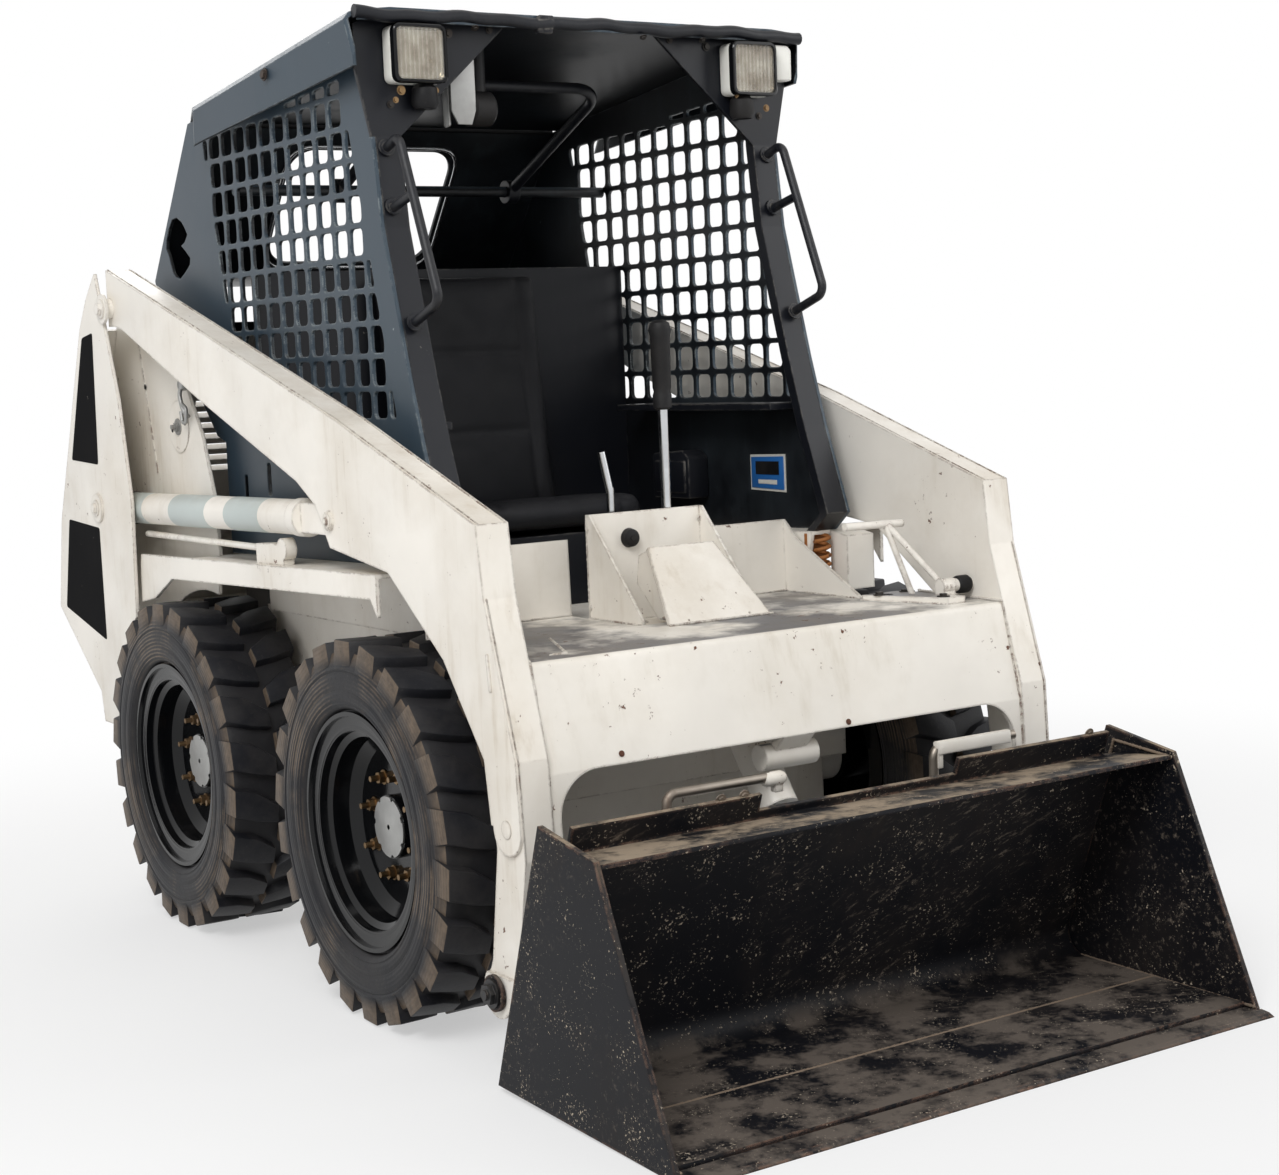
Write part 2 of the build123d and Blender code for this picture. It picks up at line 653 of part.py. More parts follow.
def along(base, eye, x):
    """A plane across the line from base to eye, at |X| = x, looking along it."""
    return Plane(origin=(x, base[0], base[1]), x_dir=(1, 0, 0), z_dir=(0, eye[0] - base[0], eye[1] - base[1]))


# side outline of an arm, from the tower forward along its top and back along its underside
ARM_TIP_R = 57
ARM_OUTLINE = (
    (925, 1458),
    (-231, 1119),
    (-745, 946),
    (-761, 822),
    (-841, 557),
    (-850, 391),
    (BUCKET_PIVOT[0] - ARM_TIP_R, BUCKET_PIVOT[1]),
    (BUCKET_PIVOT[0] + 46, BUCKET_PIVOT[1]),
    (-724, 202),
    (-757, 398),
    (-737, 549),
    (-610, 707),
    (-418, 846),
    (-183, 879),
    (-128, 957),
    (-48, 1001),
    (425, 1164),
    (847, 1322),
    (893, 1330),
    (925, 1330),
)
SLOT_IN, SLOT_OUT = 542, 586  # |X| of the slot for the lift cylinder's foot
LIFT_SWING = 14.76  # slope of the cylinder against the arm at full lift, in degrees
raised_eye = (LIFT_BASE[0] + cos(radians(LIFT_SWING)), LIFT_BASE[1] + sin(radians(LIFT_SWING)))
DOUBLER_END = (-803, 440)  # centre of the round end of the arm's thicker outer wall
DOUBLER_R = 45
DOUBLER = 6
for hand, sign in SIDES:
    with BuildPart() as arm:
        with BuildSketch(side(sign * ARM_IN)):
            outline(*ARM_OUTLINE)
            with Locations(BUCKET_PIVOT):
                Circle(46)
        extrude(amount=sign * (ARM_OUT - ARM_IN))
        with BuildSketch(side(sign * ARM_IN)):
            with Locations(ARM_PIVOT, BUCKET_PIVOT):
                Circle(PIN_R + PIN_GAP)
        extrude(amount=sign * (ARM_OUT - ARM_IN), mode=Mode.SUBTRACT)
        with BuildSketch(side(sign * SLOT_IN)):
            with Locations(LIFT_BASE):
                Circle(48)
            outline(shifted(LIFT_BASE, 0, 48), shifted(LIFT_BASE, 200, 100), shifted(LIFT_BASE, 200, -60),
                    shifted(LIFT_BASE, 0, -60))
        extrude(amount=sign * (SLOT_OUT - SLOT_IN), mode=Mode.SUBTRACT)
        # room for the barrel when the arms are up
        with BuildSketch(along(LIFT_BASE, raised_eye, sign * CYL_X).offset(LIFT_CAP - 8)):
            Circle(BARREL_R + 6)
        extrude(amount=300, mode=Mode.SUBTRACT)
        # below the thicker outer wall's round end the leg is thinner
        with BuildSketch(side(sign * (ARM_OUT - DOUBLER))):
            outline((-900, 180), (-680, 180), (-680, DOUBLER_END[1]), (-900, DOUBLER_END[1]))
            with Locations(DOUBLER_END):
                Circle(DOUBLER_R, mode=Mode.SUBTRACT)
        extrude(amount=sign * DOUBLER, mode=Mode.SUBTRACT)
        with BuildSketch(side(sign * ARM_IN)):
            with Locations(LIFT_BASE):
                Circle(18)
        extrude(amount=sign * (ARM_OUT + 6 - ARM_IN))
    write(arm.part, f"arm_{hand}")

CROSS_TOP = (-793, 712)
CROSS_FOOT = (-838, 527)
CROSS_REAR = -552
CROSS_TUBE = (-792, 486)
TILT_NOTCH_HALF = 55
LEG_IN = 512  # |X| of the leg's inner edge
LEG_TOP_R = 78  # round corner between the leg and the front plate
LEG_FOOT = 391
# cream hydraulic lines bolted to the left end of the top plate: a foot, a coupler across to the arm, and a guide
LINE_FOOT = ((362, -576), (434, -748), (478, -748), (452, -576))
COUPLER = (-700, 742)
# bars of the guide: from, to, radius
GUIDE_BARS = (((440, -640, 718), (402, -606, 862), 6), ((470, -700, 738), (404, -604, 866), 6),
              ((300, -604, 866), (446, -604, 864), 8))
with BuildPart() as crossmember:
    with BuildSketch(side(-ARM_IN)):
        outline(CROSS_TOP, (CROSS_REAR, 716), (CROSS_REAR, 706), (-784, 702), (-828, 527), CROSS_FOOT)
    extrude(amount=2 * ARM_IN)
    fillet(crossmember.edges().filter_by(lambda edge: abs(edge.center().Z - CROSS_TOP[1]) < 0.1), 13)
    with BuildSketch(Plane.XY.offset(690)):
        outline((-TILT_NOTCH_HALF, CROSS_REAR + 10), (TILT_NOTCH_HALF, CROSS_REAR + 10),
                (TILT_NOTCH_HALF, CROSS_REAR - 46), (-TILT_NOTCH_HALF, CROSS_REAR - 46))
    extrude(amount=40, mode=Mode.SUBTRACT)
    corner_x, corner_z = LEG_IN - LEG_TOP_R, CROSS_FOOT[1] - LEG_TOP_R
    for sign in (-1, 1):
        with BuildSketch(side(sign * ARM_IN)):
            outline(CROSS_FOOT, (-828, 527), (-836, LEG_FOOT), (-846, LEG_FOOT))
        extrude(amount=sign * (corner_x - ARM_IN))
        with BuildSketch(Plane.XZ.offset(800)):
            outline((sign * corner_x, corner_z), (sign * LEG_IN, corner_z), (sign * LEG_IN, LEG_FOOT - 10),
                    (sign * corner_x, LEG_FOOT - 10))
            with Locations((sign * corner_x, corner_z)):
                Circle(LEG_TOP_R)
        extrude(amount=60, mode=Mode.SUBTRACT)
    # short tube hung under the plate
    with BuildSketch(side(-40)):
        outline(CROSS_FOOT, (-828, 527), (-776, 500), CROSS_TUBE, (-812, 500))
    extrude(amount=70)
    with BuildSketch(side(-63)):
        with Locations(CROSS_TUBE):
            Circle(24)
    extrude(amount=120)
    # the lines
    with BuildSketch(Plane.XY.offset(CROSS_TOP[1])):
        outline(*LINE_FOOT)
    extrude(amount=14)
    with BuildSketch(side(455)):
        with Locations(COUPLER):
            Circle(15)
        outline(shifted(COUPLER, -12, 0), shifted(COUPLER, 12, 0), shifted(COUPLER, 14, -28), shifted(COUPLER, -14, -28))
    extrude(amount=30)
    with BuildSketch(side(455)):
        with Locations(COUPLER):
            Circle(13)
    extrude(amount=ARM_IN - 455)
    for start, end, radius in GUIDE_BARS:
        bar_line = Vector(*end) - Vector(*start)
        with BuildSketch(Plane(origin=start, z_dir=tuple(bar_line))):
            Circle(radius)
        extrude(amount=bar_line.length)
write(crossmember.part, "crossmember")

# guard over the tilt cylinder's foot
GUARD_FOOT = (-603, 716)
GUARD_TOP = (-479, 852)
GUARD_HALF = 76
guard_up = Vector(0, GUARD_TOP[0] - GUARD_FOOT[0], GUARD_TOP[1] - GUARD_FOOT[1])
GUARD_SLOPE = guard_up.length
guard_plane = Plane(
    origin=(0, GUARD_FOOT[0], GUARD_FOOT[1]),
    x_dir=(1, 0, 0),
    z_dir=tuple(Vector(1, 0, 0).cross(guard_up.normalized())),
)
GUARD_FOOT_HALF = 121
with BuildPart() as tilt_guard:
    with BuildSketch(side(-GUARD_FOOT_HALF)):
        outline(GUARD_FOOT, GUARD_TOP, shifted(GUARD_TOP, 6, -6), shifted(GUARD_FOOT, 11, 0))
    extrude(amount=2 * GUARD_FOOT_HALF)
    with BuildSketch(guard_plane):
        outline((-GUARD_FOOT_HALF, -20), (GUARD_FOOT_HALF, -20), (GUARD_HALF, GUARD_SLOPE),
                (-GUARD_HALF, GUARD_SLOPE))
    extrude(amount=20, both=True, mode=Mode.INTERSECT)
    for sign in (-1, 1):
        with BuildSketch(side(sign * 60)):
            outline(shifted(GUARD_FOOT, 11, 0), shifted(GUARD_TOP, 6, -6), (-440, 835), (-430, 780), (-500, 716))
        extrude(amount=sign * 12)
    with BuildSketch(side(-60)):
        with Locations(TILT_BASE):
            Circle(16)
    extrude(amount=120)
write(tilt_guard.part, "tilt_guard")

# ---- lift cylinders ----
lift_line = Vector(LIFT_EYE[0] - LIFT_BASE[0], LIFT_EYE[1] - LIFT_BASE[1])
LIFT_LENGTH = lift_line.length
LIFT_GLAND = 1122
for hand, sign in SIDES:
    across = along(LIFT_BASE, LIFT_EYE, sign * CYL_X)
    with BuildPart() as barrel:
        with BuildSketch(side(sign * CYL_X - 18)):
            with Locations(LIFT_BASE):
                Circle(34)
            outline(shifted(LIFT_BASE, 0, 30), shifted(LIFT_BASE, LIFT_CAP + 4, 28), shifted(LIFT_BASE, LIFT_CAP + 4, -30),
                    shifted(LIFT_BASE, 0, -30))
            with Locations(LIFT_BASE):
                Circle(18 + PIN_GAP, mode=Mode.SUBTRACT)
        extrude(amount=36)
        with BuildSketch(across.offset(LIFT_CAP)):
            Circle(BARREL_R)
        extrude(amount=LIFT_GLAND - LIFT_CAP)
        with BuildSketch(across.offset(LIFT_CAP)):
            Circle(BARREL_R + 3)
        extrude(amount=36)
        with BuildSketch(across.offset(LIFT_CAP + 30)):
            Circle(29)
        extrude(amount=LIFT_GLAND - LIFT_CAP - 60, mode=Mode.SUBTRACT)
        with BuildSketch(across.offset(LIFT_GLAND - 40)):
            Circle(LIFT_ROD_R + PIN_GAP)
        extrude(amount=60, mode=Mode.SUBTRACT)
    write(barrel.part, f"lift_barrel_{hand}")

    with BuildPart() as rod:
        with BuildSketch(across.offset(540)):
            Circle(LIFT_ROD_R)
        extrude(amount=LIFT_LENGTH - 540 - 20)
        with BuildSketch(side(sign * CYL_X - 24)):
            with Locations(LIFT_EYE):
                Circle(34)
        extrude(amount=48)
        with BuildSketch(side(sign * CYL_X - 34)):
            with Locations(LIFT_EYE):
                Circle(15)
        extrude(amount=68)
    write(rod.part, f"lift_rod_{hand}")

# ---- tilt cylinder ----
tilt_line = Vector(TILT_EYE[0] - TILT_BASE[0], TILT_EYE[1] - TILT_BASE[1])
TILT_LENGTH = tilt_line.length
tilt_plane = along(TILT_BASE, TILT_EYE, 0)
TILT_GLAND = 505
with BuildPart() as tilt_barrel:
    with BuildSketch(side(-27)):
        with Locations(TILT_BASE):
            Circle(32)
    extrude(amount=54)
    with BuildSketch(tilt_plane.offset(20)):
        Circle(38)
    extrude(amount=TILT_GLAND - 20)
    with BuildSketch(tilt_plane.offset(60)):
        Circle(30)
    extrude(amount=TILT_GLAND - 100, mode=Mode.SUBTRACT)
    with BuildSketch(tilt_plane.offset(TILT_GLAND - 60)):
        Circle(LIFT_ROD_R + PIN_GAP)
    extrude(amount=80, mode=Mode.SUBTRACT)
    with BuildSketch(side(-27)):
        with Locations(TILT_BASE):
            Circle(16 + PIN_GAP)
    extrude(amount=54, mode=Mode.SUBTRACT)
write(tilt_barrel.part, "tilt_barrel")

with BuildPart() as tilt_rod:
    with BuildSketch(tilt_plane.offset(130)):
        Circle(LIFT_ROD_R)
    extrude(amount=TILT_LENGTH - 130 - 15)
    with BuildSketch(side(-25)):
        with Locations(TILT_EYE):
            Circle(30)
    extrude(amount=50)
    with BuildSketch(side(-29)):
        with Locations(TILT_EYE):
            Circle(14)
    extrude(amount=58)
write(tilt_rod.part, "tilt_rod")

# ---- bucket and its coupler ----
HEEL = (-802, 11)
BACK_TOP = (-970, 480)
back_up = Vector(BACK_TOP[0] - HEEL[0], BACK_TOP[1] - HEEL[1]).normalized()


def back_point(up, inward):
    """A point measured up the line of the bucket's back and square to it into the bucket."""
    return (HEEL[0] + up * back_up.X - inward * back_up.Y, HEEL[1] + up * back_up.Y + inward * back_up.X)


SHELL = 8
LIP_FRONT = (-1327, 0)
TOP_FRONT = (-1135, 450)
with BuildPart() as bucket_sides:
    with BuildSketch(side(BUCKET_HALF - BUCKET_SIDE)):
        outline(LIP_FRONT, HEEL, BACK_TOP, TOP_FRONT)
    extrude(amount=BUCKET_SIDE)
    mirror(about=Plane.YZ)
write(bucket_sides.part, "bucket_sides")

SHELL_HALF = BUCKET_HALF - BUCKET_SIDE
WALL_OUT = 30  # the back wall's outer face, in from the side plates' rear edge
TOP_UNDER_FRONT = (-1133, 436)
# flanges along the back of the top plate: X from, to, height up the back
TOP_FLANGES = ((-594, -219, 507), (-219, 219, 476), (219, 594, 507))
with BuildPart() as bucket_shell:
    with BuildSketch(side(-SHELL_HALF)) as section:
        with BuildLine():
            wall_foot, wall_top = back_point(12, WALL_OUT), back_point(455, WALL_OUT)
            foot_in, top_in = back_point(21, WALL_OUT + SHELL), back_point(448, WALL_OUT + SHELL)
            FilletPolyline((-1300, 8), wall_foot, wall_top, radius=50)
            FilletPolyline((-1300, 16), foot_in, top_in, radius=42)
            Line((-1300, 8), (-1300, 16))
            Line(wall_top, top_in)
        make_face()
    extrude(amount=2 * SHELL_HALF)
    with BuildSketch(side(-SHELL_HALF)):
        outline(wall_top, top_in, TOP_UNDER_FRONT, shifted(TOP_UNDER_FRONT, 0, SHELL))
    extrude(amount=2 * SHELL_HALF)
    # the back wall stands above the top plate, higher at both sides
    for start, end, height in TOP_FLANGES:
        with BuildSketch(side(start)):
            outline(back_point(448, WALL_OUT), back_point(height, WALL_OUT), back_point(height, WALL_OUT + SHELL),
                    back_point(440, WALL_OUT + SHELL))
        extrude(amount=end - start)
write(bucket_shell.part, "bucket_shell")

with BuildPart() as cutting_edge:
    with BuildSketch(side(-BUCKET_HALF)):
        outline((EDGE_Y, 0), (EDGE_Y + 12, 6), (LIP_FRONT[0], 8), LIP_FRONT)
    extrude(amount=2 * BUCKET_HALF)
    with BuildSketch(side(-SHELL_HALF)):
        outline(LIP_FRONT, (LIP_FRONT[0], 8), (-1180, 8), (-1180, 0.5))
    extrude(amount=2 * SHELL_HALF)
write(cutting_edge.part, "cutting_edge")

# coupler: a plate on the bucket's back, carried by the arm pins and tilted by the cylinder
FACE_THICK = 12
CHEEK_IN, CHEEK_OUT = 500, 520
with BuildPart() as attach_frame:
    with BuildSketch(side(-CHEEK_IN)):
        outline(back_point(60, WALL_OUT), back_point(420, WALL_OUT), back_point(420, WALL_OUT - FACE_THICK),
                back_point(60, WALL_OUT - FACE_THICK))
    extrude(amount=2 * CHEEK_IN)
    with BuildSketch(side(CHEEK_IN)):
        outline(back_point(60, WALL_OUT), back_point(330, WALL_OUT), back_point(155, -132), back_point(72, -132))
        with Locations(BUCKET_PIVOT):
            Circle(52)
    extrude(amount=CHEEK_OUT - CHEEK_IN)
    with BuildSketch(side(CHEEK_OUT)):
        with Locations(BUCKET_PIVOT):
            Circle(PIN_R)
    extrude(amount=ARM_OUT + 3 - CHEEK_OUT)
    with BuildSketch(side(ARM_OUT + 3)):
        with Locations(BUCKET_PIVOT):
            Circle(32)
    extrude(amount=7)
    # lug beside the tilt cylinder's eye
    with BuildSketch(side(31)):
        outline(back_point(200, WALL_OUT - FACE_THICK), back_point(362, WALL_OUT - FACE_THICK),
                back_point(318, -100), back_point(244, -100))
        with Locations(TILT_EYE):
            Circle(40)
    extrude(amount=12)
    mirror(about=Plane.YZ)
write(attach_frame.part, "attach_frame")

# latch handles on the coupler: a rod up from the plate, then along it
LATCH_Y = -868
LATCH_TOP = 468
LATCHES = ((-318, -98), (282, 482))  # X of the rod, X of its free end
with BuildPart() as latch_levers:
    foot = back_point(300, WALL_OUT - FACE_THICK)
    for x, end in LATCHES:
        with BuildLine() as lever:
            FilletPolyline((x, foot[0] - 8, foot[1]), (x, LATCH_Y, 350), (x, LATCH_Y, LATCH_TOP),
                           (end, LATCH_Y, LATCH_TOP), radius=18)
        with BuildSketch(Plane(origin=lever.line @ 0, z_dir=lever.line % 0)):
            Circle(9)
        sweep(path=lever.line)
    # each rod ends on the plate's face
    with BuildSketch(side(-350)):
        outline(back_point(120, WALL_OUT - FACE_THICK), back_point(420, WALL_OUT - FACE_THICK), back_point(430, 200),
                back_point(100, 200))
    extrude(amount=700, mode=Mode.SUBTRACT)
write(latch_levers.part, "latch_levers")
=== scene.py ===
# %% [markdown]
# # A skid steer loader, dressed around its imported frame
# The solids of the machine come in finished: arms, towers, cab, bucket, cylinders and wheels, each already
# riding on the body that moves it. This lesson gives them paint, rubber and dirt, and adds what a solid model
# leaves plain: tyre treads, rounded holes in the punched windows, a stuffed seat, lamps, bolts and weld
# beads.

# %% Load the frame
import json
import math

import bmesh
import bpy
from mathutils import Matrix, Vector


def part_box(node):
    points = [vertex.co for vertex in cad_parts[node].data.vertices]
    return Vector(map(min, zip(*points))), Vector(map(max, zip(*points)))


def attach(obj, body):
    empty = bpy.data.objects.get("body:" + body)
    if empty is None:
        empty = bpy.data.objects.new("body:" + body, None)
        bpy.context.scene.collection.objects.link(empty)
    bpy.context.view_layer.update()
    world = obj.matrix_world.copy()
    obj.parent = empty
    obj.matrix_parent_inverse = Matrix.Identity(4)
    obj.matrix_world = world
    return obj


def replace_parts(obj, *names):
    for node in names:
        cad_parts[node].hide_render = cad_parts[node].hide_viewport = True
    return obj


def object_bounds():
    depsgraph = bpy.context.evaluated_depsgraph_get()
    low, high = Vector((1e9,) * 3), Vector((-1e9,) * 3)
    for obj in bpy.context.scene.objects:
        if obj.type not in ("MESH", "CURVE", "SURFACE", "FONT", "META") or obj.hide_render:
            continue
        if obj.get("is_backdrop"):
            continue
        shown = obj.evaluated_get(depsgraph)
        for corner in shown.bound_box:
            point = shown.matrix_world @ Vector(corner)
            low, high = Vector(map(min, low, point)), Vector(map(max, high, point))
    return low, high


def in_scene(name, data):
    """A new object for some data, linked to the scene."""
    made = bpy.data.objects.new(name, data)
    scene.collection.objects.link(made)
    return made


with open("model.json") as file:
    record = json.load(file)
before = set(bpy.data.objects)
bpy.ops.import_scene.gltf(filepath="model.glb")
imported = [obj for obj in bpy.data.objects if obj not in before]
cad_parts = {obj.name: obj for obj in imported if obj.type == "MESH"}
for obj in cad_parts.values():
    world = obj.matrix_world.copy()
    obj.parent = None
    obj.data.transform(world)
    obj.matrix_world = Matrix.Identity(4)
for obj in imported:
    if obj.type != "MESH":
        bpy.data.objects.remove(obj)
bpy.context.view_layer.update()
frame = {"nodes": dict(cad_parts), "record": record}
nodes = frame["nodes"]
scene = bpy.context.scene

# %% [markdown]
# ## The camera
# A long lens a little above the bucket and well to the machine's right. The small roll and shift are part of
# the framing, so they are written as plain numbers.

# %% Camera
YAW, PITCH, ROLL = math.radians(-32.741), math.radians(-6.293), math.radians(-2.415)
camera_data = bpy.data.cameras.new("camera")
camera_data.lens = 60.477
camera_data.sensor_width = 36
camera_data.shift_x = 0.01929
camera_data.shift_y = 0.00557
camera = bpy.data.objects.new("camera", camera_data)
turn = (Matrix.Rotation(YAW, 4, "Z") @ Matrix.Rotation(math.pi / 2 + PITCH, 4, "X")
        @ Matrix.Rotation(ROLL, 4, "Z"))
camera.matrix_world = Matrix.Translation((-2.3268, -3.8569, 1.2121)) @ turn
scene.collection.objects.link(camera)
scene.camera = camera

# %% [markdown]
# ## Floor and light
# A pale floor and a pale world, with three soft area lamps. The world is white to the camera but dimmer to
# the object, so colours render about as they are written.

# %% Floor, world and lamps
scene.view_settings.view_transform = "Standard"
FLOOR_HALF = 14.0
SHADOW_REACH = (1.6, 3.4)  # metres from the middle over which the floor fades to white
FLOOR_WHITE = 0.5  # share of plain white in the floor near the machine
WORLD_LIGHT = 0.62  # strength of the white world as light; the camera sees it at 1


def floor_plane():
    """A wide floor under the wheels."""
    mesh = bpy.data.meshes.new("floor")
    corners = [(x * FLOOR_HALF, y * FLOOR_HALF, 0) for x, y in ((-1, -1), (1, -1), (1, 1), (-1, 1))]
    mesh.from_pydata(corners, [], [(0, 1, 2, 3)])
    plane = in_scene("floor", mesh)
    return plane


def floor_material():
    """White to the eye beyond the machine's shadow; near it, half lit surface and half plain white."""
    material = bpy.data.materials.new("floor_pale")
    material.use_nodes = True
    nodes, links = material.node_tree.nodes, material.node_tree.links
    surface = nodes["Principled BSDF"]
    surface.inputs["Base Color"].default_value = (0.8, 0.8, 0.8, 1)
    surface.inputs["Roughness"].default_value = 0.9
    surface.inputs["Specular IOR Level"].default_value = 0.0
    white = nodes.new("ShaderNodeEmission")
    place = nodes.new("ShaderNodeTexCoord")
    length = nodes.new("ShaderNodeVectorMath")
    length.operation = "LENGTH"
    fade = nodes.new("ShaderNodeMapRange")
    fade.interpolation_type = "SMOOTHSTEP"
    for label, value in (("From Min", SHADOW_REACH[0]), ("From Max", SHADOW_REACH[1]),
                         ("To Min", FLOOR_WHITE), ("To Max", 1.0)):
        fade.inputs[label].default_value = value
    rays = nodes.new("ShaderNodeLightPath")
    eye = nodes.new("ShaderNodeMath")
    eye.operation = "MAXIMUM"
    through = nodes.new("ShaderNodeMath")
    through.operation = "MAXIMUM"
    share = nodes.new("ShaderNodeMath")
    share.operation = "MULTIPLY"
    mix = nodes.new("ShaderNodeMixShader")
    shown_surface = nodes["Material Output"].inputs["Surface"]
    for output, inlet in (
            (place.outputs["Object"], length.inputs[0]), (length.outputs["Value"], fade.inputs["Value"]),
            (rays.outputs["Is Camera Ray"], eye.inputs[0]), (rays.outputs["Is Glossy Ray"], eye.inputs[1]),
            (eye.outputs[0], through.inputs[0]), (rays.outputs["Is Transmission Ray"], through.inputs[1]),
            (through.outputs[0], share.inputs[0]), (fade.outputs["Result"], share.inputs[1]),
            (share.outputs[0], mix.inputs[0]), (surface.outputs[0], mix.inputs[1]),
            (white.outputs[0], mix.inputs[2]), (mix.outputs[0], shown_surface)):
        links.new(output, inlet)
    return material


floor = floor_plane()
floor.data.materials.append(floor_material())
floor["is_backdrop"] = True

world = bpy.data.worlds.new("studio")
scene.world = world
world.use_nodes = True
sky = world.node_tree
backdrop = sky.nodes["Background"]
backdrop.inputs["Color"].default_value = (1, 1, 1, 1)
path = sky.nodes.new("ShaderNodeLightPath")
mirrored_ray = sky.nodes.new("ShaderNodeMath")
seen = sky.nodes.new("ShaderNodeMath")
mirrored_ray.operation = seen.operation = "MAXIMUM"
sky.links.new(path.outputs["Is Camera Ray"], mirrored_ray.inputs[0])
sky.links.new(path.outputs["Is Glossy Ray"], mirrored_ray.inputs[1])
sky.links.new(mirrored_ray.outputs[0], seen.inputs[0])
sky.links.new(path.outputs["Is Transmission Ray"], seen.inputs[1])
strength = sky.nodes.new("ShaderNodeMapRange")
strength.inputs["To Min"].default_value = WORLD_LIGHT
strength.inputs["To Max"].default_value = 1.0
sky.links.new(seen.outputs[0], strength.inputs["Value"])
sky.links.new(strength.outputs["Result"], backdrop.inputs["Strength"])

# name, place, size, watts
LIGHTS = (
    ("key", (-3.8, -3.4, 4.9), 2.4, 212),
    ("fill", (3.8, -3.4, 3.2), 3.0, 55),
    ("rear", (0.6, 4.6, 4.4), 3.0, 90),
)
LOOK_AT = Vector((0, 0, 0.8))
for name, place, size, watts in LIGHTS:
    lamp = bpy.data.lights.new(name, "AREA")
    lamp.energy = watts
    lamp.size = size
    holder = bpy.data.objects.new(name, lamp)
    aim = (LOOK_AT - Vector(place)).to_track_quat("-Z", "Y").to_matrix().to_4x4()
    holder.matrix_world = Matrix.Translation(place) @ aim
    scene.collection.objects.link(holder)
print("lamps", len(LIGHTS))

# %% [markdown]
# ## Effects
# Wear, grime, dust and scratches turn up in many finishes, so each is one shader group with named inputs. A
# group only puts out masks or heights; the material decides what colour goes under a mask.

# %% Shader group helpers


def srgb(red, green, blue):
    """A colour given as 0-255 screen values, as the linear colour that shaders use."""
    return tuple((c / 12.92 if c <= 0.04045 else ((c + 0.055) / 1.055) ** 2.4)
                 for c in (red / 255, green / 255, blue / 255)) + (1,)


class Tree:
    """A node tree with short ways to add and join nodes."""

    def __init__(self, tree):
        self.tree = tree

    def add(self, kind, inputs=(), **settings):
        """A node of a kind; inputs maps a socket's name or number to a value or to another node's output."""
        node = self.tree.nodes.new("ShaderNode" + kind)
        for name, value in settings.items():
            setattr(node, name, value)
        for key, value in dict(inputs).items():
            if isinstance(value, bpy.types.NodeSocket):
                self.tree.links.new(value, node.inputs[key])
            else:
                node.inputs[key].default_value = value
        return node

    def link(self, output, inlet):
        self.tree.links.new(output, inlet)

    def math(self, operation, first, second=0.0, clamp=False):
        return self.add("Math", {0: first, 1: second}, operation=operation, use_clamp=clamp).outputs[0]

    def range(self, value, low, high, to_low=0.0, to_high=1.0):
        return self.add("MapRange", {"Value": value, "From Min": low, "From Max": high, "To Min": to_low,
                                     "To Max": to_high}).outputs[0]

    def noise(self, vector, scale, detail=4.0, rough=0.55):
        return self.add("TexNoise", {"Vector": vector, "Scale": scale, "Detail": detail,
                                     "Roughness": rough}).outputs[0]

    def layer(self, below, colour, mask):
        """Paint a colour over another where the mask is white."""
        return self.add("Mix", {0: mask, 6: below, 7: colour}, data_type="RGBA").outputs[2]

    def bump(self, surface, height, strength, distance, normal=None):
        """Raise the surface by a height, on top of another normal where one is given."""
        inputs = {"Height": height, "Strength": strength, "Distance": distance}
        if normal is not None:
            inputs["Normal"] = normal
        self.link(self.add("Bump", inputs).outputs[0], surface.inputs["Normal"])


def new_group(name, inputs, output):
    """A shader group with number inputs, given as name and default, and one number output."""
    group = bpy.data.node_groups.new(name, "ShaderNodeTree")
    for label, value in inputs:
        socket = group.interface.new_socket(label, in_out="INPUT", socket_type="NodeSocketFloat")
        socket.default_value = value
    group.interface.new_socket(output, in_out="OUTPUT", socket_type="NodeSocketFloat")
    tree = Tree(group)
    start = group.nodes.new("NodeGroupInput")
    end = group.nodes.new("NodeGroupOutput")
    place = group.nodes.new("ShaderNodeTexCoord").outputs["Object"]
    return tree, start.outputs, end, place


# %% [markdown]
# Edge wear compares the true normal with one rounded by a few millimetres: they differ only near an edge, and
# noise breaks the line up so that paint is lost in chips rather than in a neat band.

# %% Edge wear and chips
WEAR_INPUTS = (("Radius", 0.004), ("Scale", 40.0), ("Amount", 0.5))
tree, given, end, place = new_group("edge_wear", WEAR_INPUTS, "Mask")
tree.tree.interface.new_socket("Normal", in_out="OUTPUT", socket_type="NodeSocketVector")
rounded = tree.add("Bevel", {"Radius": given["Radius"]}, samples=2).outputs[0]
true_normal = tree.add("NewGeometry").outputs["Normal"]
alike = tree.add("VectorMath", {0: rounded, 1: true_normal}, operation="DOT_PRODUCT").outputs["Value"]
edge = tree.range(tree.math("SUBTRACT", 1.0, alike), 0.01, 0.09)
broken = tree.range(tree.noise(place, given["Scale"], 6.0, 0.65), 0.44, 0.56)
patch = tree.range(tree.noise(place, 5.0, 3.0), 0.36, 0.56)
worn = tree.math("MULTIPLY", tree.math("MULTIPLY", edge, broken),
                 tree.math("MULTIPLY", patch, given["Amount"]), True)
tree.link(worn, end.inputs[0])
tree.link(rounded, end.inputs[1])

tree, given, end, place = new_group("chips", (("Scale", 30.0), ("Amount", 0.1)), "Mask")
spots = tree.noise(place, given["Scale"], 5.0, 0.7)
cluster = tree.noise(place, tree.math("MULTIPLY", given["Scale"], 0.09), 2.0)
level = tree.math("ADD", tree.math("MULTIPLY", cluster, 0.3), spots)
limit = tree.math("SUBTRACT", 0.98, tree.math("MULTIPLY", given["Amount"], 0.4))
chipped = tree.math("MULTIPLY", tree.math("SUBTRACT", level, limit), 26.0, True)
tree.link(chipped, end.inputs[0])

# %% [markdown]
# Grime runs down, so its noise is stretched along Z. Dust settles on what faces up. Scratches are thin
# streaks of noise, stretched along one axis and bent a little by a slower noise.

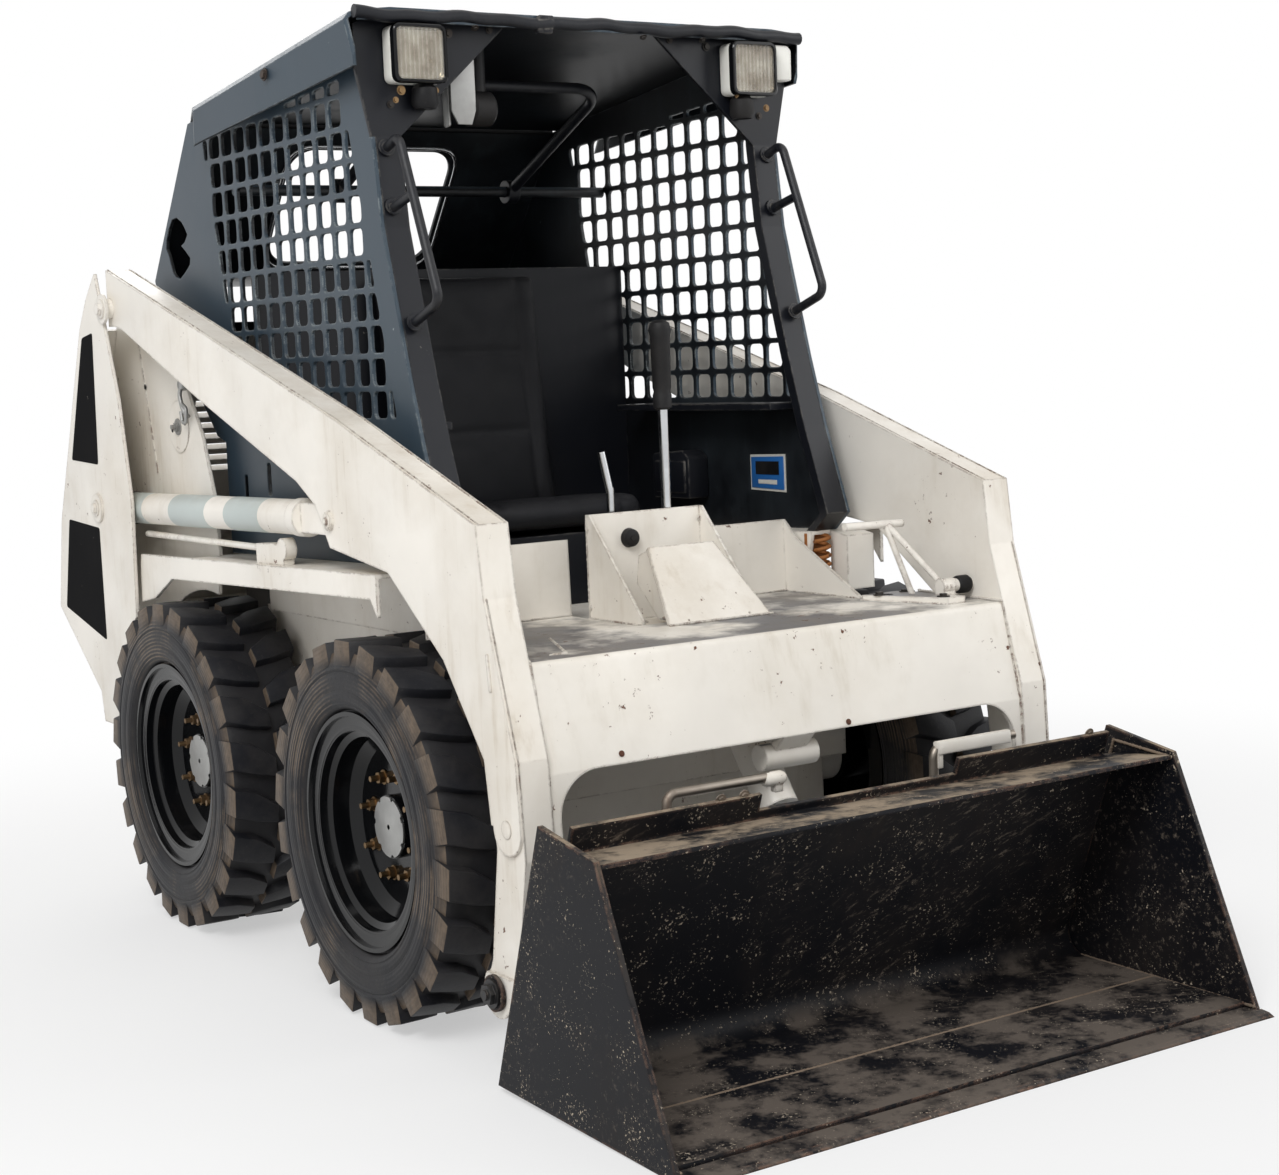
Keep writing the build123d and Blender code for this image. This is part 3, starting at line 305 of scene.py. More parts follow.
# %% Grime, dust and scratches
tree, given, end, place = new_group("grime", (("Scale", 2.0), ("Amount", 0.4)), "Mask")
fallen = tree.add("Mapping", {"Vector": place, "Scale": (14.0, 14.0, 1.6)}).outputs[0]
streak = tree.range(tree.noise(fallen, given["Scale"], 5.0, 0.6), 0.52, 0.82)
cloud = tree.range(tree.noise(place, given["Scale"], 6.0, 0.62), 0.46, 0.78)
both = tree.math("ADD", tree.math("MULTIPLY", tree.math("MULTIPLY", streak, cloud), 1.2),
                 tree.math("MULTIPLY", cloud, 0.6))
tree.link(tree.math("MULTIPLY", both, given["Amount"], True), end.inputs[0])

tree, given, end, place = new_group("dust", (("Scale", 5.0), ("Amount", 0.5), ("Soft", 0.16)), "Mask")
upward = tree.add("SeparateXYZ", {0: tree.add("NewGeometry").outputs["Normal"]}).outputs["Z"]
settled = tree.range(upward, 0.25, 0.95)
cloud = tree.range(tree.noise(place, given["Scale"], 7.0, 0.72), tree.math("SUBTRACT", 0.5, given["Soft"]),
                   tree.math("ADD", 0.5, given["Soft"]))
tree.link(tree.math("MULTIPLY", tree.math("MULTIPLY", settled, cloud), given["Amount"], True), end.inputs[0])

SCRATCH_INPUTS = (("Scale", 6.0), ("Stretch", 14.0), ("Turn", 0.5), ("Amount", 0.3))
tree, given, end, place = new_group("scratches", SCRATCH_INPUTS, "Mask")
bend = tree.add("VectorMath", {0: tree.add("TexNoise", {"Vector": place, "Scale": 2.5}).outputs["Color"],
                               "Scale": 0.08}, operation="SCALE").outputs[0]
moved = tree.add("VectorMath", {0: place, 1: bend}).outputs[0]
angle = tree.add("CombineXYZ", {"Z": given["Turn"], "X": given["Turn"]}).outputs[0]
turned = tree.add("VectorRotate", {"Vector": moved, "Rotation": angle}, rotation_type="EULER_XYZ").outputs[0]
width = tree.add("CombineXYZ", {"X": 1.0, "Y": given["Stretch"], "Z": given["Stretch"]}).outputs[0]
fine = tree.add("VectorMath", {0: turned, 1: width}, operation="MULTIPLY").outputs[0]
streaks = tree.range(tree.noise(fine, given["Scale"], 6.0, 0.75), 0.56, 0.68)
area = tree.range(tree.noise(place, 2.2, 3.0), 0.42, 0.62)
tree.link(tree.math("MULTIPLY", tree.math("MULTIPLY", streaks, area), given["Amount"], True), end.inputs[0])
print("effect groups", [group.name for group in bpy.data.node_groups])

# %% [markdown]
# ## Finishes
# A painted finish is built in layers: the paint with slow changes of tone, grime that has run down, chips and
# worn edges down to what is under the paint, and dust on top. Roughness and bump read the same masks as the
# colour.

# %% A painted finish


def effect(tree, name, **values):
    """One of the effect groups with its own values; returns its mask, or all its outputs if it has more."""
    group = tree.add("Group")
    group.node_tree = bpy.data.node_groups[name]
    for label, value in values.items():
        group.inputs[label].default_value = value
    return group.outputs[0] if len(group.outputs) == 1 else group.outputs


def finish_material(name):
    """A material, its tree and its Principled surface."""
    material = bpy.data.materials.new(name)
    material.use_nodes = True
    tree = Tree(material.node_tree)
    return material, tree, material.node_tree.nodes["Principled BSDF"]


def painted(name, paint, under, grime_colour, dust_colour, rough=0.4, edge=0.8, chip=0.1, grime=0.4, dust=0.5,
            edge_radius=0.004, scratch=0.0, scratch_colour=None, metal=0.0, inner=None, chip_scale=34.0,
            trodden=None, dust_soft=0.16, dust_scale=6.0, shine=0.5, speck=None, high_dust_and_light=None):
    """Old machine enamel in layers.

    With inner, faces that look in towards the cab's middle have that colour: painted shade for the inside of
    the cab. With trodden, paint is rubbed off to that colour in patches on faces that look up. Speck is the
    colour of chips that are paler than the worn edges. High_dust_and_light is a height in metres and the
    colour of the dust above it, paler partly as real dust and partly as painted sunlight."""
    material, tree, surface = finish_material(name)
    place = tree.add("TexCoord").outputs["Object"]
    # Faces that look in towards the cab's middle take the inner colour: painted shade for the inside of the
    # cab.
    if inner:
        out = tree.add("VectorMath", {0: place, 1: CAB_MIDDLE}, operation="SUBTRACT").outputs[0]
        faced = tree.add("VectorMath", {0: out, 1: tree.add("NewGeometry").outputs["Normal"]},
                         operation="DOT_PRODUCT").outputs["Value"]
        paint = tree.layer(paint, inner, tree.range(faced, -0.06, -0.02, 1.0, 0.0))
    else:
        paint = paint[:3]
    tone = tree.range(tree.noise(place, 3.5, 5.0), 0.3, 0.7, 0.92, 1.05)
    colour = tree.add("VectorMath", {0: paint, "Scale": tone}, operation="SCALE").outputs[0]
    grime_mask = effect(tree, "grime", Scale=2.4, Amount=grime)
    chip_mask = effect(tree, "chips", Scale=chip_scale, Amount=chip)
    edge_mask, soft_normal = 0.0, None
    if edge:
        edge_mask, soft_normal = effect(tree, "edge_wear", Radius=edge_radius, Scale=46.0, Amount=edge)
    dust_mask = effect(tree, "dust", Scale=dust_scale, Amount=dust, Soft=dust_soft)
    colour = tree.layer(colour, grime_colour, grime_mask)
    if trodden:
        up = tree.add("SeparateXYZ", {0: tree.add("NewGeometry").outputs["Normal"]}).outputs["Z"]
        patches = tree.range(tree.noise(place, 4.2, 6.0, 0.6), 0.4, 0.52)
        colour = tree.layer(colour, trodden, tree.math("MULTIPLY", tree.range(up, 0.93, 0.99), patches))
    bare = tree.math("MAXIMUM", chip_mask, edge_mask)
    colour = tree.layer(colour, speck or under, chip_mask)
    if edge:
        colour = tree.layer(colour, under, edge_mask)
    if scratch:
        scratch_mask = effect(tree, "scratches", Amount=scratch)
        colour = tree.layer(colour, scratch_colour, scratch_mask)
    # Dust above a height takes a paler colour: partly real dust, partly painted sunlight on the top plates.
    if high_dust_and_light:
        level, pale = high_dust_and_light
        height = tree.add("SeparateXYZ", {0: place}).outputs["Z"]
        dust_colour = tree.layer(dust_colour, pale, tree.range(height, level - 0.02, level))
    colour = tree.layer(colour, dust_colour, dust_mask)
    tree.link(colour, surface.inputs["Base Color"])
    roughness = tree.range(tree.math("ADD", tree.math("MULTIPLY", bare, 0.6),
                                     tree.math("MAXIMUM", grime_mask, dust_mask)), 0.0, 1.0, rough, 0.86)
    tree.link(roughness, surface.inputs["Roughness"])
    if metal:
        tree.link(tree.math("MULTIPLY", bare, metal), surface.inputs["Metallic"])
    surface.inputs["Specular IOR Level"].default_value = shine
    skin = tree.math("MULTIPLY", tree.noise(place, 260.0, 2.0), 0.12)
    dent = tree.math("MULTIPLY", tree.noise(place, 5.0, 2.0), 1.6)
    height = tree.math("SUBTRACT", tree.math("ADD", skin, dent), tree.math("MULTIPLY", bare, 0.5))
    tree.bump(surface, height, 0.35, 0.0016, soft_normal)
    return material


CAB_MIDDLE = (0, 0.25, 1.35)
RUST = srgb(96, 58, 38)
finishes = {}
finishes["cream_paint"] = painted("cream_enamel", srgb(239, 234, 225), RUST, srgb(186, 172, 150),
                                  srgb(168, 152, 128), rough=0.34, edge=1.0, chip=0.36, grime=0.7, dust=0.34,
                                  edge_radius=0.006, chip_scale=52.0)
finishes["trodden_paint"] = painted("trodden_enamel", srgb(237, 232, 223), RUST, srgb(184, 172, 150),
                                    srgb(160, 146, 124), rough=0.34, edge=1.0, chip=0.4, grime=0.6, dust=0.3,
                                    edge_radius=0.006, chip_scale=52.0, trodden=srgb(97, 97, 101))
finishes["grey_band"] = painted("grey_band", srgb(186, 195, 192), RUST, srgb(164, 160, 148),
                                srgb(160, 150, 132), rough=0.36, edge=0.0, chip=0.2, grime=0.4, dust=0.3)
finishes["rusty_orange"] = painted("rusty_orange", srgb(150, 92, 40), srgb(72, 46, 32), srgb(96, 64, 40),
                                   srgb(120, 92, 66), rough=0.7, edge=0.0, chip=0.6, grime=0.8, dust=0.4)
finishes["dark_paint"] = painted("pin_black", srgb(24, 24, 26), srgb(110, 100, 90), srgb(56, 52, 48),
                                 srgb(90, 84, 76), rough=0.34, edge=0.8, chip=0.2, grime=0.3, dust=0.2,
                                 edge_radius=0.002, shine=0.35)
# The slate's near-black inner colour is painted shade on the faces inside the cab.
finishes["slate_paint"] = painted("slate_enamel", srgb(46, 61, 73), srgb(142, 150, 152), srgb(82, 92, 99),
                                  srgb(120, 121, 118), rough=0.36, edge=1.0, chip=0.25, grime=0.5, dust=0.36,
                                  edge_radius=0.005, inner=srgb(15, 17, 21), shine=0.4)
finishes["black_paint"] = painted("black_enamel", srgb(19, 21, 27), srgb(128, 124, 118), srgb(46, 47, 50),
                                  srgb(84, 82, 80), rough=0.34, edge=0.9, chip=0.25, grime=0.35, dust=0.22,
                                  edge_radius=0.005, shine=0.3)
# The paler dust above the bucket's top edge is partly real dust, partly painted sunlight.
finishes["bucket_paint"] = painted("bucket_enamel", srgb(15, 16, 21), srgb(150, 118, 100), srgb(54, 47, 42),
                                   srgb(106, 97, 89), rough=0.5, edge=1.0, chip=0.48, grime=0.7, dust=0.78,
                                   scratch=0.8, scratch_colour=srgb(128, 117, 106), edge_radius=0.007,
                                   chip_scale=170.0, dust_soft=0.06, dust_scale=8.0, shine=0.2,
                                   speck=srgb(196, 182, 162), high_dust_and_light=(0.43, srgb(158, 142, 122)))
finishes["rust_line"] = painted("rusted_bead", srgb(124, 108, 92), srgb(164, 146, 126), srgb(74, 60, 50),
                                srgb(112, 98, 84), rough=0.8, edge=0.0, chip=0.3, grime=0.9, dust=0.5)
finishes["rust_spot"] = painted("rust_spot", srgb(92, 56, 40), srgb(60, 38, 28), srgb(72, 48, 36),
                                srgb(110, 84, 66), rough=0.85, edge=0.0, chip=0.2, grime=0.8, dust=0.2)
finishes["matte_black"] = painted("field_black", srgb(24, 24, 25), srgb(150, 146, 138), srgb(52, 50, 48),
                                  srgb(84, 80, 76), rough=0.8, edge=0.0, chip=0.34, grime=0.3, dust=0.0,
                                  shine=0.03)
finishes["rim_paint"] = painted("rim_gloss", srgb(11, 12, 14), srgb(96, 80, 64), srgb(30, 28, 27),
                                srgb(60, 54, 48), rough=0.09, edge=0.0, chip=0.15, grime=0.15, dust=0.1,
                                shine=0.26)
finishes["lamp_white"] = painted("lamp_housing", srgb(228, 227, 220), RUST, srgb(160, 150, 132),
                                 srgb(170, 160, 146), rough=0.34, edge=0.5, chip=0.2, grime=0.45, dust=0.2)
print("painted finishes", sorted(finishes))

# %% [markdown]
# Bare metals: the rods are hard chrome with a little oil and dust, the engine is a dark casting, and bolts
# are plated, scoured or plain dark steel.

# %% Metals


def metal(name, colour, rough, dirt_colour, dirt, streak=0.0):
    """Bare metal with tone changes, dirt and fine streaks."""
    material, tree, surface = finish_material(name)
    place = tree.add("TexCoord").outputs["Object"]
    tone = tree.range(tree.noise(place, 14.0, 6.0), 0.3, 0.7, 0.8, 1.1)
    base = tree.add("VectorMath", {0: colour[:3], "Scale": tone}, operation="SCALE").outputs[0]
    dirt_mask = effect(tree, "grime", Scale=5.0, Amount=dirt)
    tree.link(tree.layer(base, dirt_colour, dirt_mask), surface.inputs["Base Color"])
    tree.link(tree.range(dirt_mask, 0.0, 1.0, 1.0, 0.2), surface.inputs["Metallic"])
    tree.link(tree.range(dirt_mask, 0.0, 1.0, rough, 0.8), surface.inputs["Roughness"])
    height = tree.noise(place, 90.0, 5.0)
    if streak:
        scored = effect(tree, "scratches", Amount=1.0)
        height = tree.math("ADD", height, tree.math("MULTIPLY", scored, streak))
    tree.bump(surface, height, 0.25, 0.0006)
    return material


finishes["worn_steel"] = metal("worn_steel", srgb(150, 142, 132), 0.42, srgb(104, 78, 58), 0.8, 0.8)
finishes["rod_chrome"] = metal("rod_chrome", srgb(208, 210, 212), 0.14, srgb(120, 112, 100), 0.25)
finishes["engine_iron"] = metal("engine_iron", srgb(84, 82, 80), 0.6, srgb(60, 52, 46), 0.6)
finishes["gold_bolt"] = metal("plated_bolt", srgb(134, 110, 80), 0.4, srgb(74, 52, 38), 1.0)
finishes["dark_steel"] = metal("dark_steel", srgb(70, 68, 66), 0.5, srgb(84, 64, 50), 0.6)
finishes["hub_grey"] = metal("hub_grey", srgb(170, 170, 168), 0.5, srgb(120, 110, 98), 0.5)

# %% [markdown]
# Rubber and vinyl. A working tyre is grey-brown with dust in its sidewall, darker on the tops of its lugs.
# Seat vinyl is black with a fine leather-like grain, which is a Voronoi pattern at the scale of a millimetre
# or two.

# %% Rubber, vinyl and glass

WALL_BROWN = srgb(136, 118, 99)
RING_WAVES = 780.0  # radians per metre of the rings moulded in a tyre's wall
SHOULDER = (0.312, 0.335)  # radii between which the wall is worn brown
TREAD = (0.343, 0.337)  # radii between which the grooves take up dust


def rubber(name, colour, dust_colour, amount, tyre=False):
    """Rubber with dust rubbed in; a tyre is worn brown on its shoulders and has fine rings in its walls."""
    material, tree, surface = finish_material(name)
    place = tree.add("TexCoord").outputs["Object"]
    tone = tree.range(tree.noise(place, 9.0, 6.0), 0.3, 0.7, 0.75, 1.2)
    colour = tree.add("VectorMath", {0: colour[:3], "Scale": tone}, operation="SCALE").outputs[0]
    cloud = tree.range(tree.noise(place, 7.0, 6.0, 0.7), 0.42, 0.7, 0.0, amount)
    specks = tree.range(tree.noise(place, 120.0, 3.0), 0.6, 0.68, 0.0, amount * 0.5)
    dusty = tree.math("MAXIMUM", cloud, specks)
    grain = tree.noise(place, 60.0, 6.0, 0.65)
    height = tree.math("ADD", grain, tree.math("MULTIPLY", tree.noise(place, 400.0, 2.0), 0.3))
    if tyre:
        radius = tree.add("Attribute", attribute_name="radius").outputs["Fac"]
        across = tree.add("SeparateXYZ", {0: tree.add("NewGeometry").outputs["Normal"]}).outputs["X"]
        wall = tree.range(tree.math("ABSOLUTE", across), 0.6, 0.9)
        patchy = tree.range(tree.noise(place, 5.0, 7.0, 0.65), 0.48, 0.62)
        wavy_radius = tree.math("ADD", radius, tree.math("MULTIPLY", grain, 0.004))
        ring = tree.math("SINE", tree.math("MULTIPLY", wavy_radius, RING_WAVES))
        rubbed = tree.math("MULTIPLY", tree.range(ring, -0.4, 1.0), patchy)
        ragged = tree.range(grain, 0.3, 0.6, 0.5, 1.0)
        shoulder = tree.math("MULTIPLY", tree.range(radius, *SHOULDER, 0.0, 0.62), ragged)
        worn = tree.math("MAXIMUM", tree.math("MULTIPLY", rubbed, 0.7), shoulder)
        worn = tree.math("MULTIPLY", wall, worn)
        groove = tree.math("MULTIPLY", tree.range(radius, *TREAD), tree.math("SUBTRACT", 1.0, wall))
        dusty = tree.math("MAXIMUM", dusty, tree.math("MULTIPLY", groove, 0.1))
        height = tree.math("ADD", height, tree.math("MULTIPLY", tree.math("MULTIPLY", ring, wall), 0.25))
    colour = tree.layer(colour, dust_colour, dusty)
    if tyre:
        colour = tree.layer(colour, WALL_BROWN, tree.math("MULTIPLY", worn, 0.8))
    tree.link(colour, surface.inputs["Base Color"])
    tree.link(tree.range(dusty, 0.0, 1.0, 0.5, 0.92), surface.inputs["Roughness"])
    surface.inputs["Specular IOR Level"].default_value = 0.25
    tree.bump(surface, height, 0.5, 0.0014)
    return material


def vinyl(name, colour):
    """Seat vinyl with a fine grain and dust in its folds."""
    material, tree, surface = finish_material(name)
    place = tree.add("TexCoord").outputs["Object"]
    dusty = effect(tree, "dust", Scale=7.0, Amount=0.25)
    tone = tree.range(tree.noise(place, 6.0, 4.0), 0.3, 0.7, 0.8, 1.25)
    base = tree.add("VectorMath", {0: colour[:3], "Scale": tone}, operation="SCALE").outputs[0]
    tree.link(tree.layer(base, srgb(70, 68, 68), dusty), surface.inputs["Base Color"])
    surface.inputs["Specular IOR Level"].default_value = 0.3
    tree.link(tree.range(tree.noise(place, 18.0, 4.0), 0.3, 0.7, 0.4, 0.58), surface.inputs["Roughness"])
    grain = tree.add("TexVoronoi", {"Vector": place, "Scale": 420.0},
                     feature="DISTANCE_TO_EDGE").outputs["Distance"]
    creases = tree.noise(place, 26.0, 5.0)
    height = tree.math("ADD", tree.range(grain, 0.0, 0.12), tree.math("MULTIPLY", creases, 1.2))
    tree.bump(surface, height, 0.4, 0.0009)
    return material


def lens_glass(name):
    """Fluted lamp glass with dust on it."""
    material, tree, surface = finish_material(name)
    place = tree.add("TexCoord").outputs["Object"]
    surface.inputs["Transmission Weight"].default_value = 0.85
    surface.inputs["IOR"].default_value = 1.47
    cloud = tree.range(tree.noise(place, 16.0, 6.0), 0.35, 0.7)
    tree.link(tree.layer(srgb(238, 234, 224), srgb(168, 154, 134), cloud), surface.inputs["Base Color"])
    tree.link(tree.range(cloud, 0.0, 1.0, 0.05, 0.35), surface.inputs["Roughness"])
    flutes = tree.add("TexWave", {"Vector": place, "Scale": 34.0, "Distortion": 0.0},
                      bands_direction="X").outputs[1]
    tree.bump(surface, flutes, 0.5, 0.0015)
    return material


finishes["tyre_rubber"] = rubber("tyre_rubber", srgb(20, 21, 26), srgb(104, 99, 94), 0.16, tyre=True)
finishes["black_rubber"] = rubber("black_rubber", srgb(17, 17, 19), srgb(74, 70, 66), 0.2)
finishes["seat_vinyl"] = vinyl("seat_vinyl", srgb(13, 14, 19))
finishes["lens_glass"] = lens_glass("lens_glass")
finishes["blue_plate"] = painted("blue_enamel", srgb(38, 104, 176), srgb(150, 160, 170), srgb(60, 88, 120),
                                 srgb(120, 130, 140), rough=0.35, edge=0.8, chip=0.04, grime=0.2, dust=0.1,
                                 edge_radius=0.002)
finishes["reflector"] = metal("reflector", srgb(214, 212, 204), 0.2, srgb(170, 150, 120), 0.4)

# %% [markdown]
# Each node of the frame takes the finish of its slot in the record. The bucket shares the frame's black slot
# but is scoured by soil, its cutting edge has kept as much paint as the rest of it, and the plates that are
# trodden on share the cream slot but are rubbed grey. These have finishes of their own.

# %% Dress the frame's nodes
OWN_FINISH = {"bucket_shell": "bucket_paint", "bucket_sides": "bucket_paint", "attach_frame": "bucket_paint",
              "cutting_edge": "bucket_paint",
              "crossmember": "trodden_paint", "foot_trays": "trodden_paint"}
slots = {row["node"]: row["material_slot"] for row in frame["record"]["subparts"]}
for name, node in nodes.items():
    finish = finishes[OWN_FINISH.get(name, slots[name])]
    node.data.materials.clear()
    node.data.materials.append(finish)
print("dressed", len(nodes))

# %% [markdown]
# ## Making shapes
# Most of the added pieces are folded plate, turned parts and bent bar, so three helpers make them: an outline
# carried along an axis, a profile turned round an axis, and a round bar along a few points. All lengths are
# millimetres here, as on a drawing, and become metres when the piece is put in its place.

# %% A shape made of closed forms
MM = 0.001
SHARP = 0.4  # radians between two faces, past which their edge is rounded
AXES = {"X": lambda a, b, c: (c, a, b), "Y": lambda a, b, c: (a, c, b), "Z": lambda a, b, c: (a, b, c)}


def evaluated_mesh(holder):
    """A plain mesh of an object as its modifiers, or its curve, leave it."""
    return bpy.data.meshes.new_from_object(holder.evaluated_get(bpy.context.evaluated_depsgraph_get()))


def skin(form, rings, closed=False):
    """Faces from each ring of vertices to the next and, where closed, from the last ring to the first."""
    for near, far in zip(rings, rings[1:] + rings[:1] if closed else rings[1:]):
        for here in range(len(near)):
            after = (here + 1) % len(near)
            form.faces.new((near[here], near[after], far[after], far[here]))


class Shape:
    """Closed forms in one mesh. Each may have its own edges rounded before it joins the rest."""

    def __init__(self):
        self.mesh = bmesh.new()

    def join(self, form, rounded=0.0, steps=2):
        """Add a closed form, with its normals put outwards and its sharp edges rounded."""
        bmesh.ops.remove_doubles(form, verts=form.verts, dist=1e-4)
        bmesh.ops.recalc_face_normals(form, faces=form.faces)
        if rounded:
            sharp = [edge for edge in form.edges if edge.calc_face_angle(0.0) > SHARP]
            bmesh.ops.bevel(form, geom=sharp, offset=rounded, segments=steps, profile=0.5, affect="EDGES",
                            clamp_overlap=True)
        part = bpy.data.meshes.new("part")
        form.to_mesh(part)
        form.free()
        self.mesh.from_mesh(part)
        bpy.data.meshes.remove(part)

    def prism(self, outline, low, high, axis="X", rounded=0.0, steps=2):
        """An outline of (a, b) points carried along an axis from low to high."""
        form = bmesh.new()
        ends = [[form.verts.new(AXES[axis](a, b, c)) for a, b in outline] for c in (low, high)]
        form.faces.new(ends[0])
        form.faces.new(ends[1])
        skin(form, ends)
        self.join(form, rounded, steps)

    def turned(self, profile, centre, axis="X", sides=32, rounded=0.0, steps=2):
        """A profile of (distance along the axis, radius) turned round an axis through centre; flat ends."""
        form = bmesh.new()
        rings = []
        for along, radius in profile:
            angles = [2 * math.pi * side / sides for side in range(sides)]
            points = [AXES[axis](radius * math.cos(angle), radius * math.sin(angle), along)
                      for angle in angles]
            rings.append([form.verts.new(Vector(point) + Vector(centre)) for point in points])
        skin(form, rings)
        form.faces.new(rings[0])
        form.faces.new(rings[-1])
        self.join(form, rounded, steps)

    def bar(self, points, radius, sides=12, soften=0.0):
        """A round bar along straight runs, with its elbows rounded by soften."""
        line = []
        for number, point in enumerate(map(Vector, points)):
            if soften and 0 < number < len(points) - 1:
                before = (Vector(points[number - 1]) - point).normalized() * soften
                after = (Vector(points[number + 1]) - point).normalized() * soften
                for share in (0.0, 0.25, 0.5, 0.75, 1.0):
                    first, last = point + before * (1 - share), point + after * share
                    line.append(first.lerp(last, share))
            else:
                line.append(point)
        form = bmesh.new()
        rings = []
        turn = (line[1] - line[0]).to_track_quat("Z", "Y")
        for number, point in enumerate(line):
            ahead = line[min(number + 1, len(line) - 1)] - line[max(number - 1, 0)]
            turn = (turn @ Vector((0, 0, 1))).rotation_difference(ahead) @ turn
            rings.append([form.verts.new(point + turn @ Vector((radius * math.cos(2 * math.pi * side / sides),
                                                                radius * math.sin(2 * math.pi * side / sides),
                                                                0))) for side in range(sides)])
        skin(form, rings)
        form.faces.new(rings[0])
        form.faces.new(rings[-1])
        self.join(form)

    def mirrored(self):
        """The same forms on both sides of the machine."""
        half = bpy.data.meshes.new("half")
        self.mesh.to_mesh(half)
        half.transform(Matrix.Scale(-1, 4, (1, 0, 0)))
        half.flip_normals()
        self.mesh.from_mesh(half)
        bpy.data.meshes.remove(half)
        return self

    def piece(self, name, finish, body, smooth=35):
        """Show the shape as a piece of the machine that rides on a body."""
        made = bpy.data.meshes.new(name)
        self.mesh.to_mesh(made)
        self.mesh.free()
        made.transform(Matrix.Scale(MM, 4))
        return shown(name, made, finish, body, smooth)


def shown(name, mesh, finish, body, smooth=35):
    """An object for a finished mesh, with its finish, riding on a body."""
    piece = in_scene(name, mesh)
    mesh.materials.clear()
    mesh.materials.append(finishes[finish])
    mesh.shade_smooth()
    mesh.set_sharp_from_angle(angle=math.radians(smooth))
    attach(piece, body)
    return piece


def rounded_corners(outline, radius, steps=4):
    """A convex outline with each corner replaced by a short arc."""
    points = []
    count = len(outline)
    for number, corner in enumerate(outline):
        here = Vector(corner)
        before = Vector(outline[number - 1]) - here
        after = Vector(outline[(number + 1) % count]) - here
        reach = min(radius, before.length * 0.42, after.length * 0.42)
        start, end = here + before.normalized() * reach, here + after.normalized() * reach
        for step in range(steps + 1):
            share = step / steps
            bent = start * (1 - share) ** 2 + here * 2 * share * (1 - share) + end * share ** 2
            points.append(tuple(bent))
    return points


def rectangle(a, b, half_wide, half_tall):
    """The corners of a rectangle about the middle (a, b)."""
    return [(a - half_wide, b - half_tall), (a + half_wide, b - half_tall),
            (a + half_wide, b + half_tall), (a - half_wide, b + half_tall)]


# %% [markdown]
# ## Fasteners
# Hex bolts sit on washers all over the machine. One Geometry Nodes tree puts a bolt on each point of a small
# mesh: the point's own direction and size turn and scale it, and a seeded random number spins its hexagon.
# The result is realised and turned into a plain mesh for each body.

# %% A tree that sets bolts on points
WASHER_THICK = 0.25  # in head radii, as every size in the tree


def bolt_tree():
    """Points in, bolts out, with the shape's sizes as named inputs."""
    tree = bpy.data.node_groups.new("bolts", "GeometryNodeTree")
    tree.interface.new_socket("Geometry", in_out="OUTPUT", socket_type="NodeSocketGeometry")
    sockets = {}
    for label, kind, value in (("Geometry", "Geometry", None), ("Head Radius", "Float", 1.0),
                               ("Head Height", "Float", 0.8), ("Washer Radius", "Float", 1.5),
                               ("Stud Height", "Float", 0.0), ("Seed", "Int", 7),
                               ("Material", "Material", None)):
        socket = tree.interface.new_socket(label, in_out="INPUT", socket_type="NodeSocket" + kind)
        if value is not None:
            socket.default_value = value
        sockets[label] = socket.identifier
    start = tree.nodes.new("NodeGroupInput")
    end = tree.nodes.new("NodeGroupOutput")

    def add(kind, **settings):
        node = tree.nodes.new(kind)
        for key, value in settings.items():
            setattr(node, key, value)
        return node

    def link(first, output, second, inlet):
        tree.links.new(first.outputs[output], second.inputs[inlet])

    def cylinder(sides, wide, wide_output, tall):
        """A cylinder that stands on the point's plane; without a height it is a washer."""
        form = add("GeometryNodeMeshCylinder")
        form.inputs["Vertices"].default_value = sides
        link(wide, wide_output, form, "Radius")
        lift = add("GeometryNodeTransform")
        move = add("ShaderNodeCombineXYZ")
        half = add("ShaderNodeMath", operation="MULTIPLY")
        half.inputs[1].default_value = 0.5
        if tall:
            link(start, tall, form, "Depth")
            link(start, tall, half, 0)
        else:
            form.inputs["Depth"].default_value = WASHER_THICK
            half.inputs[0].default_value = WASHER_THICK
        link(half, 0, move, "Z")
        link(move, 0, lift, "Translation")
        link(form, "Mesh", lift, "Geometry")
        return lift

    whole = add("GeometryNodeJoinGeometry")
    stud_radius = add("ShaderNodeMath", operation="MULTIPLY")
    stud_radius.inputs[1].default_value = 0.5
    link(start, "Head Radius", stud_radius, 0)
    for sides, wide, wide_output, tall in ((6, start, "Head Radius", "Head Height"),
                                           (16, start, "Washer Radius", None),
                                           (8, stud_radius, 0, "Stud Height")):
        form = cylinder(sides, wide, wide_output, tall)
        link(form, "Geometry", whole, "Geometry")

    facing = add("GeometryNodeInputNamedAttribute", data_type="FLOAT_VECTOR")
    facing.inputs["Name"].default_value = "facing"
    size = add("GeometryNodeInputNamedAttribute", data_type="FLOAT")
    size.inputs["Name"].default_value = "size"
    aim = add("FunctionNodeAlignRotationToVector", axis="Z")
    link(facing, 0, aim, "Vector")
    chance = add("FunctionNodeRandomValue", data_type="FLOAT")
    chance.inputs[3].default_value = math.tau
    link(start, "Seed", chance, "Seed")
    about = add("ShaderNodeCombineXYZ")
    link(chance, 1, about, "Z")
    as_turn = add("FunctionNodeEulerToRotation")
    link(about, 0, as_turn, 0)
    spin = add("FunctionNodeRotateRotation", rotation_space="LOCAL")
    link(aim, 0, spin, 0)
    link(as_turn, 0, spin, 1)
    put = add("GeometryNodeInstanceOnPoints")
    link(start, "Geometry", put, "Points")
    link(whole, "Geometry", put, "Instance")
    link(spin, 0, put, "Rotation")
    link(size, 0, put, "Scale")
    real = add("GeometryNodeRealizeInstances")
    paint = add("GeometryNodeSetMaterial")
    link(put, 0, real, 0)
    link(real, 0, paint, "Geometry")
    link(start, "Material", paint, "Material")
    link(paint, 0, end, 0)
    return tree, sockets


BOLTS, BOLT_SOCKETS = bolt_tree()


